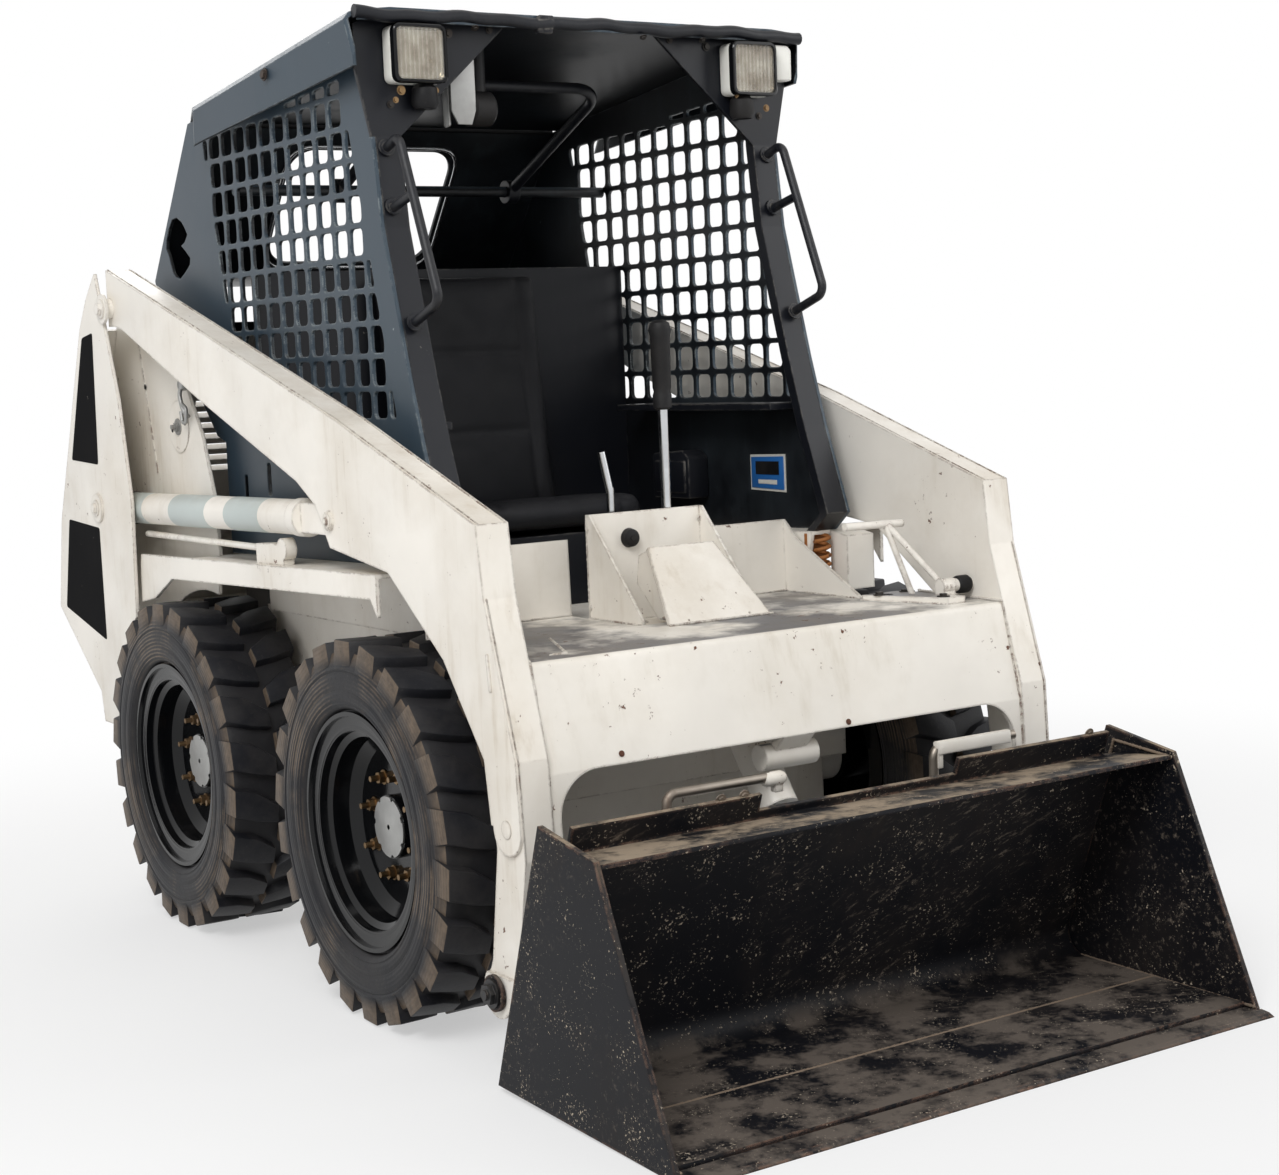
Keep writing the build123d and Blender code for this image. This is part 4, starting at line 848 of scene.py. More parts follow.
def baked(name, points_mesh, tree, sockets, values, finish, body, smooth=30):
    """Run a tree on a mesh with its inputs set, and keep the result as a plain mesh."""
    source = in_scene(name + "_points", points_mesh)
    modifier = source.modifiers.new("nodes", "NODES")
    modifier.node_group = tree
    for label, value in values.items():
        modifier[sockets[label]] = value
    modifier[sockets["Material"]] = finishes[finish]
    result = evaluated_mesh(source)
    source.modifiers.clear()
    bpy.data.objects.remove(source)
    result.name = name
    return shown(name, result, finish, body, smooth)


def bolts(name, places, finish, body, both=False, **sizes):
    """Bolts at places: point and direction in millimetres, and head radius in millimetres."""
    if both:
        places = list(places) + [((-p[0], p[1], p[2]), (-d[0], d[1], d[2]), size) for p, d, size in places]
    points = bpy.data.meshes.new(name)
    points.from_pydata([Vector(point) * MM for point, _, _ in places], [], [])
    points.attributes.new("facing", "FLOAT_VECTOR", "POINT")
    points.attributes.new("size", "FLOAT", "POINT")
    for number, (_, direction, size) in enumerate(places):
        points.attributes["facing"].data[number].vector = Vector(direction).normalized()
        points.attributes["size"].data[number].value = size * MM
    return baked(name, points, BOLTS, BOLT_SOCKETS, sizes, finish, body)


print("bolt tree", len(BOLTS.nodes), "nodes")

# %% [markdown]
# ## Tyres
# A tyre is a casing with bands moulded in its sidewalls, and two rows of tall lugs that reach over its
# shoulders. The casing is a profile turned round the axle. One pair of lugs is modelled with rounded edges,
# and a Geometry Nodes tree repeats the pair round the casing. One finished tyre serves all four wheels, moved
# or mirrored.

# %% The casing and a pair of lugs
# half of the casing's profile: distance from the tyre's middle, radius
CASING_HALF = ((86, 226.8), (93, 229), (101, 234), (104.5, 240), (103.4, 243), (105.6, 247), (106.2, 262),
               (104.9, 265), (106.3, 269), (106.5, 288), (105.4, 297), (103.6, 300), (105.6, 304),
               (103.6, 312), (99, 324), (93.5, 335), (84, 338.6), (40, 339.6))
# plan of a lug: distance from the tyre's middle, distance round the tread, at its top and at its root
LUG_TOP = ((4, -37), (50, -29), (101.5, -13), (103, 46), (52, 33), (4, 1))
LUG_ROOT = ((3, -42), (50, -34), (104.5, -18), (105.5, 51), (52, 38), (3, 6))
LUG_TOP_R, LUG_ROOT_R = 357.2, 300
LUG_COUNT = 22
CASING_SIDES = 132
TYRE_MID = 533.5


def casing_mesh():
    """The casing as a closed ring round the X axis."""
    loop = [*CASING_HALF, *[(-across, radius) for across, radius in reversed(CASING_HALF)], (-86, 193),
            (86, 193)]
    form = bmesh.new()
    angles = [math.tau * side / CASING_SIDES for side in range(CASING_SIDES)]
    rings = [[form.verts.new((across, radius * math.cos(angle), radius * math.sin(angle)))
              for angle in angles] for across, radius in loop]
    skin(form, rings, closed=True)
    bmesh.ops.recalc_face_normals(form, faces=form.faces)
    mesh = bpy.data.meshes.new("casing")
    form.to_mesh(mesh)
    form.free()
    return mesh


def lug_pair():
    """An outer lug at the bottom of the tyre and an inner one half a pitch on."""
    pair = Shape()
    for half, turn in ((-1, 0.0), (1, math.pi / LUG_COUNT)):
        form = bmesh.new()
        layers = []
        for outline, radius in ((LUG_TOP, LUG_TOP_R), (LUG_ROOT, LUG_ROOT_R)):
            layers.append([form.verts.new((half * across, -along, -radius)) for across, along in outline])
        form.faces.new(layers[0])
        form.faces.new(layers[1])
        skin(form, layers)
        bmesh.ops.recalc_face_normals(form, faces=form.faces)
        rim = [edge for edge in form.edges if edge.calc_face_angle(0.0) > SHARP]
        bmesh.ops.bevel(form, geom=rim, offset=3.0, segments=2, profile=0.5, affect="EDGES",
                        clamp_overlap=True)
        form.transform(Matrix.Rotation(turn, 4, "X"))
        pair.join(form)
    mesh = bpy.data.meshes.new("lug_pair")
    pair.mesh.to_mesh(mesh)
    pair.mesh.free()
    return mesh


# %% A tree that repeats the lugs round the casing


def lug_tree():
    """Casing in, tyre out; the lug pair, their number and the material are inputs."""
    tree = bpy.data.node_groups.new("lug_ring", "GeometryNodeTree")
    tree.interface.new_socket("Geometry", in_out="OUTPUT", socket_type="NodeSocketGeometry")
    sockets = {}
    for label, kind in (("Geometry", "Geometry"), ("Lugs", "Object"), ("Count", "Int"),
                        ("Material", "Material")):
        socket = tree.interface.new_socket(label, in_out="INPUT", socket_type="NodeSocket" + kind)
        sockets[label] = socket.identifier
    node = {label: tree.nodes.new(kind) for label, kind in (
        ("start", "NodeGroupInput"), ("end", "NodeGroupOutput"), ("lug", "GeometryNodeObjectInfo"),
        ("points", "GeometryNodeMeshLine"), ("index", "GeometryNodeInputIndex"), ("step", "ShaderNodeMath"),
        ("angle", "ShaderNodeMath"), ("about", "ShaderNodeCombineXYZ"),
        ("turn", "FunctionNodeEulerToRotation"), ("put", "GeometryNodeInstanceOnPoints"),
        ("real", "GeometryNodeRealizeInstances"), ("join", "GeometryNodeJoinGeometry"),
        ("paint", "GeometryNodeSetMaterial"))}
    node["step"].operation = "DIVIDE"
    node["step"].inputs[0].default_value = math.tau
    node["angle"].operation = "MULTIPLY"
    for first, output, second, inlet in (
            ("start", "Lugs", "lug", "Object"), ("start", "Count", "points", "Count"),
            ("start", "Count", "step", 1), ("index", 0, "angle", 0), ("step", 0, "angle", 1),
            ("angle", 0, "about", "X"), ("about", 0, "turn", 0), ("points", 0, "put", "Points"),
            ("lug", "Geometry", "put", "Instance"), ("turn", 0, "put", "Rotation"), ("put", 0, "real", 0),
            ("start", "Geometry", "join", 0), ("real", 0, "join", 0), ("join", 0, "paint", 0),
            ("start", "Material", "paint", "Material"), ("paint", 0, "end", 0)):
        tree.links.new(node[first].outputs[output], node[second].inputs[inlet])
    node["points"].inputs["Offset"].default_value = (0, 0, 0)
    return tree, sockets


tree, sockets = lug_tree()
lug_object, casing_object = in_scene("lug_pair", lug_pair()), in_scene("casing", casing_mesh())
modifier = casing_object.modifiers.new("lugs", "NODES")
modifier.node_group = tree
modifier[sockets["Lugs"]] = lug_object
modifier[sockets["Count"]] = LUG_COUNT
modifier[sockets["Material"]] = finishes["tyre_rubber"]
one_tyre = evaluated_mesh(casing_object)
casing_object.modifiers.clear()
for helper in (lug_object, casing_object):
    bpy.data.objects.remove(helper)
one_tyre.transform(Matrix.Scale(MM, 4))
radius = one_tyre.attributes.new("radius", "FLOAT", "POINT")
radius.data.foreach_set("value", [math.hypot(v.co.y, v.co.z) for v in one_tyre.vertices])
print("one tyre", len(one_tyre.polygons), "faces")

# %% [markdown]
# ## Wheels
# Each tyre stands for its solid of the frame. The black dish of the rim is the frame's own. What it lacks is
# the ring of plated studs and nuts, from the same tree as the other bolts, and the grey cap with its notched
# edge.

# %% Four tyres, their studs and hub caps
HUB_FACE, DISH_FACE, STUD_RING = 564, 546, 98
STUD_COUNT, STUD_R = 8, 11.5
CAP_R, CAP_NOTCH, CAP_NOTCHES = 58, 5, 7
CAP_STEPS, NOTCH_SHARE = 112, 0.14  # points round the cap, and a notch's share of the way to the next
CAP_THICK = 4


def cap_outline(centre):
    """A round cap with short notches in its edge."""
    points = []
    for step in range(CAP_STEPS):
        share = step * CAP_NOTCHES / CAP_STEPS % 1
        reach = CAP_R - (CAP_NOTCH if share < NOTCH_SHARE else 0)
        angle = math.tau * step / CAP_STEPS
        points.append((centre[0] + reach * math.cos(angle), centre[1] + reach * math.sin(angle)))
    return points


for end in ("front", "rear"):
    for hand, sign in (("right", -1), ("left", 1)):
        node, body = f"tyre_{end}_{hand}", f"wheel_{end}_{hand}"
        low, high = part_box(node)
        axle = (0, (low.y + high.y) / 2, (low.z + high.z) / 2)
        mesh = one_tyre.copy()
        if sign > 0:
            mesh.transform(Matrix.Scale(-1, 4, (1, 0, 0)))
            mesh.flip_normals()
        mesh.transform(Matrix.Translation((sign * TYRE_MID * MM, axle[1], axle[2])))
        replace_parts(shown(f"tread_{end}_{hand}", mesh, "tyre_rubber", body, smooth=32), node)
        y, z = axle[1] / MM, axle[2] / MM
        places = []
        for stud in range(STUD_COUNT):
            angle = math.tau * (stud + 0.35) / STUD_COUNT
            places.append(((sign * DISH_FACE, y + STUD_RING * math.cos(angle),
                            z + STUD_RING * math.sin(angle)), (sign, 0, 0), STUD_R))
        bolts(f"studs_{end}_{hand}", places, "gold_bolt", body, **{"Head Height": 1.3, "Washer Radius": 1.25,
                                                                   "Stud Height": 2.7})
        cap = Shape()
        cap.prism(cap_outline((y, z)), sign * HUB_FACE, sign * (HUB_FACE + CAP_THICK), rounded=0.7)
        centre_x = HUB_FACE + CAP_THICK if sign > 0 else -HUB_FACE - CAP_THICK
        cap.turned(((0, 5), (3, 5), (4, 4)), (centre_x, y, z), sides=16)
        cap.piece(f"hub_cap_{end}_{hand}", "hub_grey", body)
print("wheels dressed")

# %% [markdown]
# ## The cab's sides
# The side of the cab is one sheet with a window of punched cells. Punching leaves round corners, so the sheet
# is a flat filled curve with a closed spline for its outline and one for each cell, given its thickness and a
# small bevel. Cells that the window's slanted edge crosses are cut to it, and slivers are left out.

# %% Punched sheet
CAB_OUT, CAB_IN = 473, 465
# outline of the sheet and of its window, as (y, z)
SHEET = ((-194, 1857), (-194, 1640), (-202, 1640), (-223, 1471), (-300, 1196), (-344, 1057), (-412, 877),
         (-366, 839), (528, 820), (579, 819), (579, 1063), (624, 1076), (929, 1383), (939, 1433),
         (686, 1762.3))
WINDOW = ((-248, 1106), (-80, 1760), (609, 1715), (475, 1106))
CELL_PITCH, CELL_BAR, FIRST_CELL = (66, 62), (12, 11), (-214, 1110)
TORN_HOLE = ((811, 1563), (785, 1566), (758, 1555), (741, 1541), (727, 1524), (744, 1509), (767, 1502),
             (742, 1488), (718, 1472), (722, 1458), (734, 1451), (757, 1440), (785, 1429), (808, 1434),
             (825, 1445), (843, 1484), (856, 1500), (852, 1519), (836, 1543))
SKIRT_SLOTS = ((479, 964, 18, 60), (356, 987, 20, 70))
SMALL_CELL = 450  # square millimetres


def clipped(polygon, corner, onward):
    """The part of a polygon left of the line from corner to onward."""
    def side(point):
        rise, run = onward[1] - corner[1], onward[0] - corner[0]
        return run * (point[1] - corner[1]) - rise * (point[0] - corner[0])
    kept = []
    for number, here in enumerate(polygon):
        after = polygon[(number + 1) % len(polygon)]
        a, b = side(here), side(after)
        if a >= 0:
            kept.append(here)
        if a * b < 0:
            share = a / (a - b)
            kept.append((here[0] + share * (after[0] - here[0]), here[1] + share * (after[1] - here[1])))
    return kept


def polygon_area(points):
    return abs(sum(a[0] * b[1] - b[0] * a[1] for a, b in zip(points, points[1:] + points[:1]))) / 2


def window_cells():
    """Every cell of the window, cut to its outline and rounded."""
    cells = []
    for column in range(-1, 14):
        for row in range(11):
            y = FIRST_CELL[0] + column * CELL_PITCH[0] + CELL_BAR[0] / 2
            z = FIRST_CELL[1] + row * CELL_PITCH[1] + CELL_BAR[1] / 2
            wide, tall = CELL_PITCH[0] - CELL_BAR[0], CELL_PITCH[1] - CELL_BAR[1]
            cell = [(y, z), (y + wide, z), (y + wide, z + tall), (y, z + tall)]
            for corner, onward in zip(reversed(WINDOW), [*reversed(WINDOW)][1:] + [WINDOW[-1]]):
                cell = clipped(cell, corner, onward)
            if len(cell) > 2 and polygon_area(cell) > SMALL_CELL:
                cells.append(rounded_corners(cell, 13))
    return cells


def sheet_mesh(outline, holes, thick, bevel=1.0):
    """A flat sheet with holes, in its own plane, as a mesh."""
    curve = bpy.data.curves.new("sheet", "CURVE")
    curve.dimensions = "2D"
    curve.fill_mode = "BOTH"
    curve.extrude = thick / 2 - bevel
    curve.bevel_depth = bevel
    curve.bevel_resolution = 1
    curve.offset = -bevel
    for points in (outline, *holes):
        spline = curve.splines.new("POLY")
        spline.points.add(len(points) - 1)
        for point, (a, b) in zip(spline.points, points):
            point.co = (a, b, 0, 1)
        spline.use_cyclic_u = True
    holder = in_scene("sheet", curve)
    mesh = evaluated_mesh(holder)
    bpy.data.objects.remove(holder)
    bpy.data.curves.remove(curve)
    return mesh


def stood_up(mesh, x):
    """Stand a flat mesh across X at x, with its (a, b) as (y, z); millimetres become metres."""
    mesh.transform(Matrix(((0, 0, MM, x * MM), (MM, 0, 0, 0), (0, MM, 0, 0), (0, 0, 0, 1))))
    form = bmesh.new()
    form.from_mesh(mesh)
    bmesh.ops.remove_doubles(form, verts=form.verts, dist=1e-6)
    bmesh.ops.recalc_face_normals(form, faces=form.faces)
    form.to_mesh(mesh)
    form.free()
    return mesh


cells = window_cells()
slots_cut = [rounded_corners(rectangle(y, z, wide / 2, tall / 2), wide) for y, z, wide, tall in SKIRT_SLOTS]
openings = {"right": [*cells, *slots_cut, TORN_HOLE], "left": cells}
for hand, sign in (("right", -1), ("left", 1)):
    mesh = sheet_mesh(SHEET, openings[hand], CAB_OUT - CAB_IN)
    mesh = stood_up(mesh, sign * (CAB_OUT + CAB_IN) / 2)
    sheet = shown(f"cab_sheet_{hand}", mesh, "slate_paint", "chassis", smooth=15)
    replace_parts(sheet, f"cab_side_{hand}")
print("cells in a window", len(cells))

# %% [markdown]
# ## Along the roof and posts
# The roof's front edge is folded over and has been knocked about, so it is a round bar whose points wander by
# a few millimetres, always the same way because the wandering is a sum of sines. Bolts hold it, the visor
# plates, the lamp feet and the grab handles; they are dark steel at the roof, plated at the lamps and black
# at the handles.

# %% Roof edge, hangers and bolts
ROOF_FRONT = -241
ROOF_FALL = 0.1076  # how far the roof drops for each millimetre towards the back
lip = Shape()
lip_line = [(x, ROOF_FRONT + 3 + 2.2 * math.sin(x / 61),
             1859 + 2.4 * math.sin(x / 47 + 1) + 1.6 * math.sin(x / 17)) for x in range(-515, 516, 10)]
lip.bar(lip_line, 12.5)
lip.prism(((-252, 1872), (-232, 1872), (-232, 1838), (-246, 1838)), -126, -92, rounded=3)
lip.piece("roof_lip", "black_paint", "chassis", smooth=60)

hanger = Shape()
hanger.prism(rounded_corners(((-150, 1851), (-120, 1851), (-124, 1668), (-146, 1668)), 14), -276, -271,
             rounded=1)
hanger.prism(((-276, 1851), (-222, 1851), (-222, 1700), (-232, 1672), (-262, 1672), (-276, 1700)), -160, -155,
             "Y", rounded=1)
hanger.piece("roof_hanger", "hub_grey", "chassis")
drum = Shape()
drum.turned(((-222, 30), (-218, 34), (-178, 34), (-172, 28)), (0, -130, 1706), sides=28)
drum.bar(((-200, -130, 1845), (-200, -130, 1738)), 16)
drum.piece("roof_drum", "black_rubber", "chassis")
seal = Shape()
seal.bar(((-464, 683, 1764), (464, 683, 1764)), 8)
seal.piece("roof_seal", "black_rubber", "chassis")

frame_bolts = [((sign * x, y, z), direction, size) for sign in (-1, 1) for x, y, z, direction, size in (
    (300, -203, 1836, (0, -1, 0), 6), (430, -203, 1700, (0, -1, 0), 5), (350, -203, 1738, (0, -1, 0), 4),
    (210, -203, 1846, (0, -1, 0), 5))]
frame_bolts += [((x, -245, 1842), (0, -0.6, -1), 5) for x in (-265, 118, 262)]
bolts("cab_front_bolts", frame_bolts, "dark_steel", "chassis", **{"Head Height": 0.9, "Washer Radius": 1.5})
SIDE_BOLT_Y = 140
bolts("cab_side_bolts", [((527, SIDE_BOLT_Y, 1837 - ROOF_FALL * (SIDE_BOLT_Y - ROOF_FRONT)), (1, 0, 0.1), 9)],
      "dark_steel", "chassis", both=True, **{"Washer Radius": 1.4})
handle_feet = [((445, y, z), (0, -0.95, 0.3), 9) for y, z in ((-206, 1620), (-222, 1510), (-284, 1292))]
bolts("handle_feet", handle_feet, "black_paint", "chassis", both=True,
      **{"Head Height": 0.9, "Washer Radius": 1.9})

# %% [markdown]
# ## Lamps
# A lamp is a pressed white housing behind a square black bezel, with a bowl of reflector and a fluted glass,
# on a rubber foot. Each layer has its own finish, so each is its own piece.

# %% Two work lamps
LAMPS = ((-387, 1789), (387, 1789))
LAMP_FRONT, LAMP_BACK = -255, -202


def square(x, z, half_wide, half_tall, radius):
    """The outline of a layer of a lamp, seen from the front."""
    return rounded_corners(rectangle(x, z, half_wide, half_tall), radius, steps=6)


housings, bezels, bowls, glasses, feet = Shape(), Shape(), Shape(), Shape(), Shape()
for x, z in LAMPS:
    housings.prism(square(x, z, 55, 53, 15), LAMP_BACK - 2, LAMP_FRONT + 13, "Y", rounded=3)
    ring = bmesh.new()
    rounds = [(square(x, z, 56, 54, 17), LAMP_FRONT + 16), (square(x, z, 56, 54, 17), LAMP_FRONT + 2),
              (square(x, z, 54, 52, 15), LAMP_FRONT), (square(x, z, 50, 48, 12), LAMP_FRONT),
              (square(x, z, 49, 47, 12), LAMP_FRONT + 6), (square(x, z, 49, 47, 12), LAMP_FRONT + 16)]
    loops = [[ring.verts.new((a, y, b)) for a, b in outline] for outline, y in rounds]
    skin(ring, loops, closed=True)
    bezels.join(ring)
    bowl = bmesh.new()
    loops = [[bowl.verts.new((a, y, b)) for a, b in outline] for outline, y in (
        (square(x, z, 49, 47, 12), LAMP_FRONT + 9), (square(x, z, 36, 34, 20), LAMP_FRONT + 24),
        (square(x, z, 14, 14, 13), LAMP_FRONT + 34), (square(x, z, 49, 47, 12), LAMP_FRONT + 38))]
    skin(bowl, loops, closed=True)
    bowl.faces.new(loops[2])
    bowls.join(bowl)
    glasses.prism(square(x, z, 49.5, 47.5, 12), LAMP_FRONT + 4, LAMP_FRONT + 8, "Y")
    feet.turned(((1690, 20), (1700, 26), (1728, 24), (1736, 17)), (x + (18 if x < 0 else -18), -226, 0), "Z",
                sides=24)
housings.prism(((449, 1770), (495, 1770), (496, 1832), (486, 1842), (449, 1842)), -202, -235, "Y", rounded=4)
lamp_body = housings.piece("lamp_housings", "lamp_white", "chassis")
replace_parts(lamp_body, "lamps")
bezels.piece("lamp_bezels", "rim_paint", "chassis")
bowls.piece("lamp_bowls", "reflector", "chassis")
glasses.piece("lamp_glasses", "lens_glass", "chassis")
feet.piece("lamp_feet", "black_rubber", "chassis")
bolts("lamp_bolts", [((x, -236, z), (0, -1, 0), size) for x, z, size in
                     ((-424, 1722, 6), (-350, 1724, 4), (-436, 1704, 4), (350, 1736, 4), (424, 1712, 5))],
      "gold_bolt", "chassis", **{"Head Height": 0.8, "Washer Radius": 1.5})
print("lamps", len(LAMPS))

# %% [markdown]
# ## The seat
# The seat is a stuffed pan and a tall back in black vinyl, sewn across into panels. Each starts as a slab a
# little smaller than its solid, is remeshed to even small faces and blown up gently as cloth: the vertices on
# its seams are held, so the panels crown between them. How far a point may move is capped. Two rounds of
# smoothing follow, the seams are pressed in as grooves, and one subdivision finishes the skin.

# %% Stuffed pads
VOXEL = 0.008
SEAM_REACH = 0.006
PUFF_FRAMES = 20
GROOVE_REACH = 2.2 * SEAM_REACH  # how far from its seam a pressed groove runs out
GROOVE = 0.004


def slab(outline, half):
    """A rounded slab from a side outline of (y, z) points."""
    shape = Shape()
    shape.prism(outline, -half, half, rounded=12, steps=3)
    mesh = bpy.data.meshes.new("slab")
    shape.mesh.to_mesh(mesh)
    shape.mesh.free()
    mesh.transform(Matrix.Scale(MM, 4))
    return mesh


def remeshed(mesh):
    """The mesh with even faces of one voxel."""
    holder = in_scene("remesh", mesh)
    modifier = holder.modifiers.new("even", "REMESH")
    modifier.mode = "VOXEL"
    modifier.voxel_size = VOXEL
    result = evaluated_mesh(holder)
    bpy.data.objects.remove(holder)
    return result


def puffed(mesh, seam_distance, cap, pressure=4.0):
    """Blow the mesh up as cloth with its seams held, and cap how far each point moves."""
    holder = in_scene("puff", mesh)
    held = holder.vertex_groups.new(name="seams")
    for vertex in mesh.vertices:
        if seam_distance(vertex.co) < SEAM_REACH:
            held.add([vertex.index], 1.0, "REPLACE")
    cloth = holder.modifiers.new("cloth", "CLOTH")
    cloth.settings.use_pressure = True
    cloth.settings.uniform_pressure_force = pressure
    cloth.settings.effector_weights.gravity = 0.0
    cloth.settings.vertex_group_mass = "seams"
    cloth.settings.quality = 4
    cloth.point_cache.frame_start, cloth.point_cache.frame_end = 1, PUFF_FRAMES
    for frame_number in range(1, PUFF_FRAMES + 1):
        scene.frame_set(frame_number)
    result = evaluated_mesh(holder)
    for start, end in zip(mesh.vertices, result.vertices):
        move = end.co - start.co
        if move.length > cap:
            end.co = start.co + move.normalized() * cap
    scene.frame_set(1)
    bpy.data.objects.remove(holder)
    return result


def stuffed(name, outline, half, seam_distance, cap, groove, node):
    mesh = remeshed(slab(outline, half))
    mesh = puffed(mesh, seam_distance, cap)
    form = bmesh.new()
    form.from_mesh(mesh)
    for _ in range(2):
        bmesh.ops.smooth_vert(form, verts=form.verts, factor=0.4, use_axis_x=True, use_axis_y=True,
                              use_axis_z=True)
    form.normal_update()
    for vertex in form.verts:
        near = seam_distance(vertex.co)
        if near < GROOVE_REACH:
            vertex.co -= vertex.normal * groove * (1 - near / GROOVE_REACH) ** 2
    form.to_mesh(mesh)
    form.free()
    holder = in_scene(name, mesh)
    modifier = holder.modifiers.new("smooth", "SUBSURF")
    modifier.levels = modifier.render_levels = 1
    smooth = evaluated_mesh(holder)
    bpy.data.objects.remove(holder)
    smooth.name = name
    pad = shown(name, smooth, "seat_vinyl", "chassis", smooth=80)
    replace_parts(pad, node)
    print(name, len(smooth.polygons), "faces")
    return pad


# seams of the back run across it at these heights, and a side seam sets off each bolster
BACK_SEAMS, BOLSTER_X = (1.062, 1.238), 0.150
CROSS_REACH = BOLSTER_X + 0.004
PAD_HALF = 200
BACK_PUFF, PAN_PUFF = 0.013, 0.014  # how far the cloth may move a point
PAN_SEAMS = (0.075, 0.2)


def back_seam(point):
    across = min(abs(point.z - height) for height in BACK_SEAMS)
    beside = abs(abs(point.x) - BOLSTER_X)
    return min(across if abs(point.x) < CROSS_REACH else 1.0, beside)


def pan_seam(point):
    across = min(abs(point.y - place) for place in PAN_SEAMS)
    return min(across if abs(point.x) < CROSS_REACH else 1.0, abs(abs(point.x) - BOLSTER_X))


stuffed("seat_back_pad", ((294, 862), (290, 915), (352, 1404), (382, 1404), (326, 862)), PAD_HALF, back_seam,
        BACK_PUFF, GROOVE, "seat_back")
stuffed("seat_pan_pad", ((-50, 866), (-54, 908), (-28, 924), (264, 908), (276, 862)), PAD_HALF, pan_seam,
        PAN_PUFF, GROOVE, "seat_cushion")

# %% [markdown]
# ## Behind and beside the seat
# A black box stands beside the seat, and the rear window has a bright worn trim. A small blue plate on the
# inside of the left wall has a pale border, a dark field and a pale bar, and no lettering.

# %% Cab fittings
trim = Shape()
SLOPE_FOOT, SLOPE_TOP = Vector((0, 939, 1433)), Vector((0, 686, 1762))
slope = (SLOPE_TOP - SLOPE_FOOT).normalized()
inward = Vector((1, 0, 0)).cross(slope)
corners = rounded_corners([(-222, 38), (222, 38), (222, 372), (-222, 372)], 66, steps=6)
ring_line = [SLOPE_FOOT + Vector((1, 0, 0)) * a + slope * b + inward * 12 for a, b in corners]
trim.bar([*ring_line, ring_line[0]], 5, sides=8)
trim.piece("window_trim", "rod_chrome", "chassis", smooth=60)

box = Shape()
box.prism(((72, 892), (215, 892), (215, 992), (96, 1000), (72, 984)), 408, 463, rounded=5)
box.prism(((84, 905), (200, 905), (200, 975), (84, 975)), 404, 409, rounded=2)
box.piece("side_box", "black_paint", "chassis")
plate = Shape()
plate.prism(((-205, 916), (-91, 919), (-91, 985), (-205, 988)), 461, 464.5, rounded=0.8)
plate.piece("blank_plate", "blue_plate", "chassis")
border = Shape()
border.prism(((-210, 911), (-86, 914), (-86, 990), (-210, 993)), 463, 464.8)
border.prism(((-182, 927), (-116, 928), (-116, 937), (-182, 937)), 460.5, 462)
border.piece("plate_border", "lamp_white", "chassis")
window = Shape()
window.prism(((-190, 948), (-108, 948), (-108, 976), (-190, 977)), 460, 462)
window.piece("blank_window", "black_rubber", "chassis")

# %% Levers
LEVER_FOOT, SHORT_FOOT = (65, -340, 0), (-60, -330, 0)
levers = Shape()
levers.turned(((1106, 12), (1110, 18), (1134, 19), (1142, 16.5), (1150, 18.5), (1250, 20), (1262, 23),
               (1276, 19), (1282, 8)), LEVER_FOOT, "Z", sides=28)
levers.turned(((700, 44), (712, 40), (722, 30), (736, 34), (746, 24), (760, 27), (770, 16)), LEVER_FOOT, "Z",
              sides=28)
levers.turned(((700, 36), (712, 32), (722, 24), (734, 27), (744, 13)), SHORT_FOOT, "Z", sides=28)
levers.piece("lever_grips", "black_rubber", "chassis", smooth=45)

# %% [markdown]
# ## Weld beads
# Plates meet in fillet welds, which read as a row of small overlapping drops. A second tree lays them: it
# turns the edges of a line mesh into curves, walks along them in even steps, and sets a drop of slightly
# random size on each step.

# %% A tree that lays weld beads


def weld_tree():
    """Lines in, beads out, with the drop's radius and spacing as inputs."""
    tree = bpy.data.node_groups.new("weld_beads", "GeometryNodeTree")
    tree.interface.new_socket("Geometry", in_out="OUTPUT", socket_type="NodeSocketGeometry")
    sockets = {}
    for label, kind in (("Geometry", "Geometry"), ("Radius", "Float"), ("Spacing", "Float"), ("Seed", "Int"),
                        ("Material", "Material")):
        socket = tree.interface.new_socket(label, in_out="INPUT", socket_type="NodeSocket" + kind)
        sockets[label] = socket.identifier
    node = {label: tree.nodes.new(kind) for label, kind in (
        ("start", "NodeGroupInput"), ("end", "NodeGroupOutput"), ("line", "GeometryNodeMeshToCurve"),
        ("even", "GeometryNodeResampleCurve"), ("points", "GeometryNodeCurveToPoints"),
        ("drop", "GeometryNodeMeshIcoSphere"), ("chance", "FunctionNodeRandomValue"),
        ("put", "GeometryNodeInstanceOnPoints"), ("real", "GeometryNodeRealizeInstances"),
        ("paint", "GeometryNodeSetMaterial"))}
    node["even"].mode = "LENGTH"
    node["points"].mode = "EVALUATED"
    node["drop"].inputs["Subdivisions"].default_value = 1
    node["chance"].data_type = "FLOAT"
    node["chance"].inputs[2].default_value = 0.8
    node["chance"].inputs[3].default_value = 1.25
    for first, output, second, inlet in (
            ("start", "Geometry", "line", 0), ("line", 0, "even", "Curve"),
            ("start", "Spacing", "even", "Length"), ("even", 0, "points", 0), ("points", 0, "put", "Points"),
            ("start", "Radius", "drop", "Radius"), ("drop", 0, "put", "Instance"),
            ("start", "Seed", "chance", "Seed"), ("chance", 1, "put", "Scale"), ("put", 0, "real", 0),
            ("real", 0, "paint", "Geometry"), ("start", "Material", "paint", "Material"),
            ("paint", 0, "end", 0)):
        tree.links.new(node[first].outputs[output], node[second].inputs[inlet])
    return tree, sockets


WELDS, WELD_SOCKETS = weld_tree()


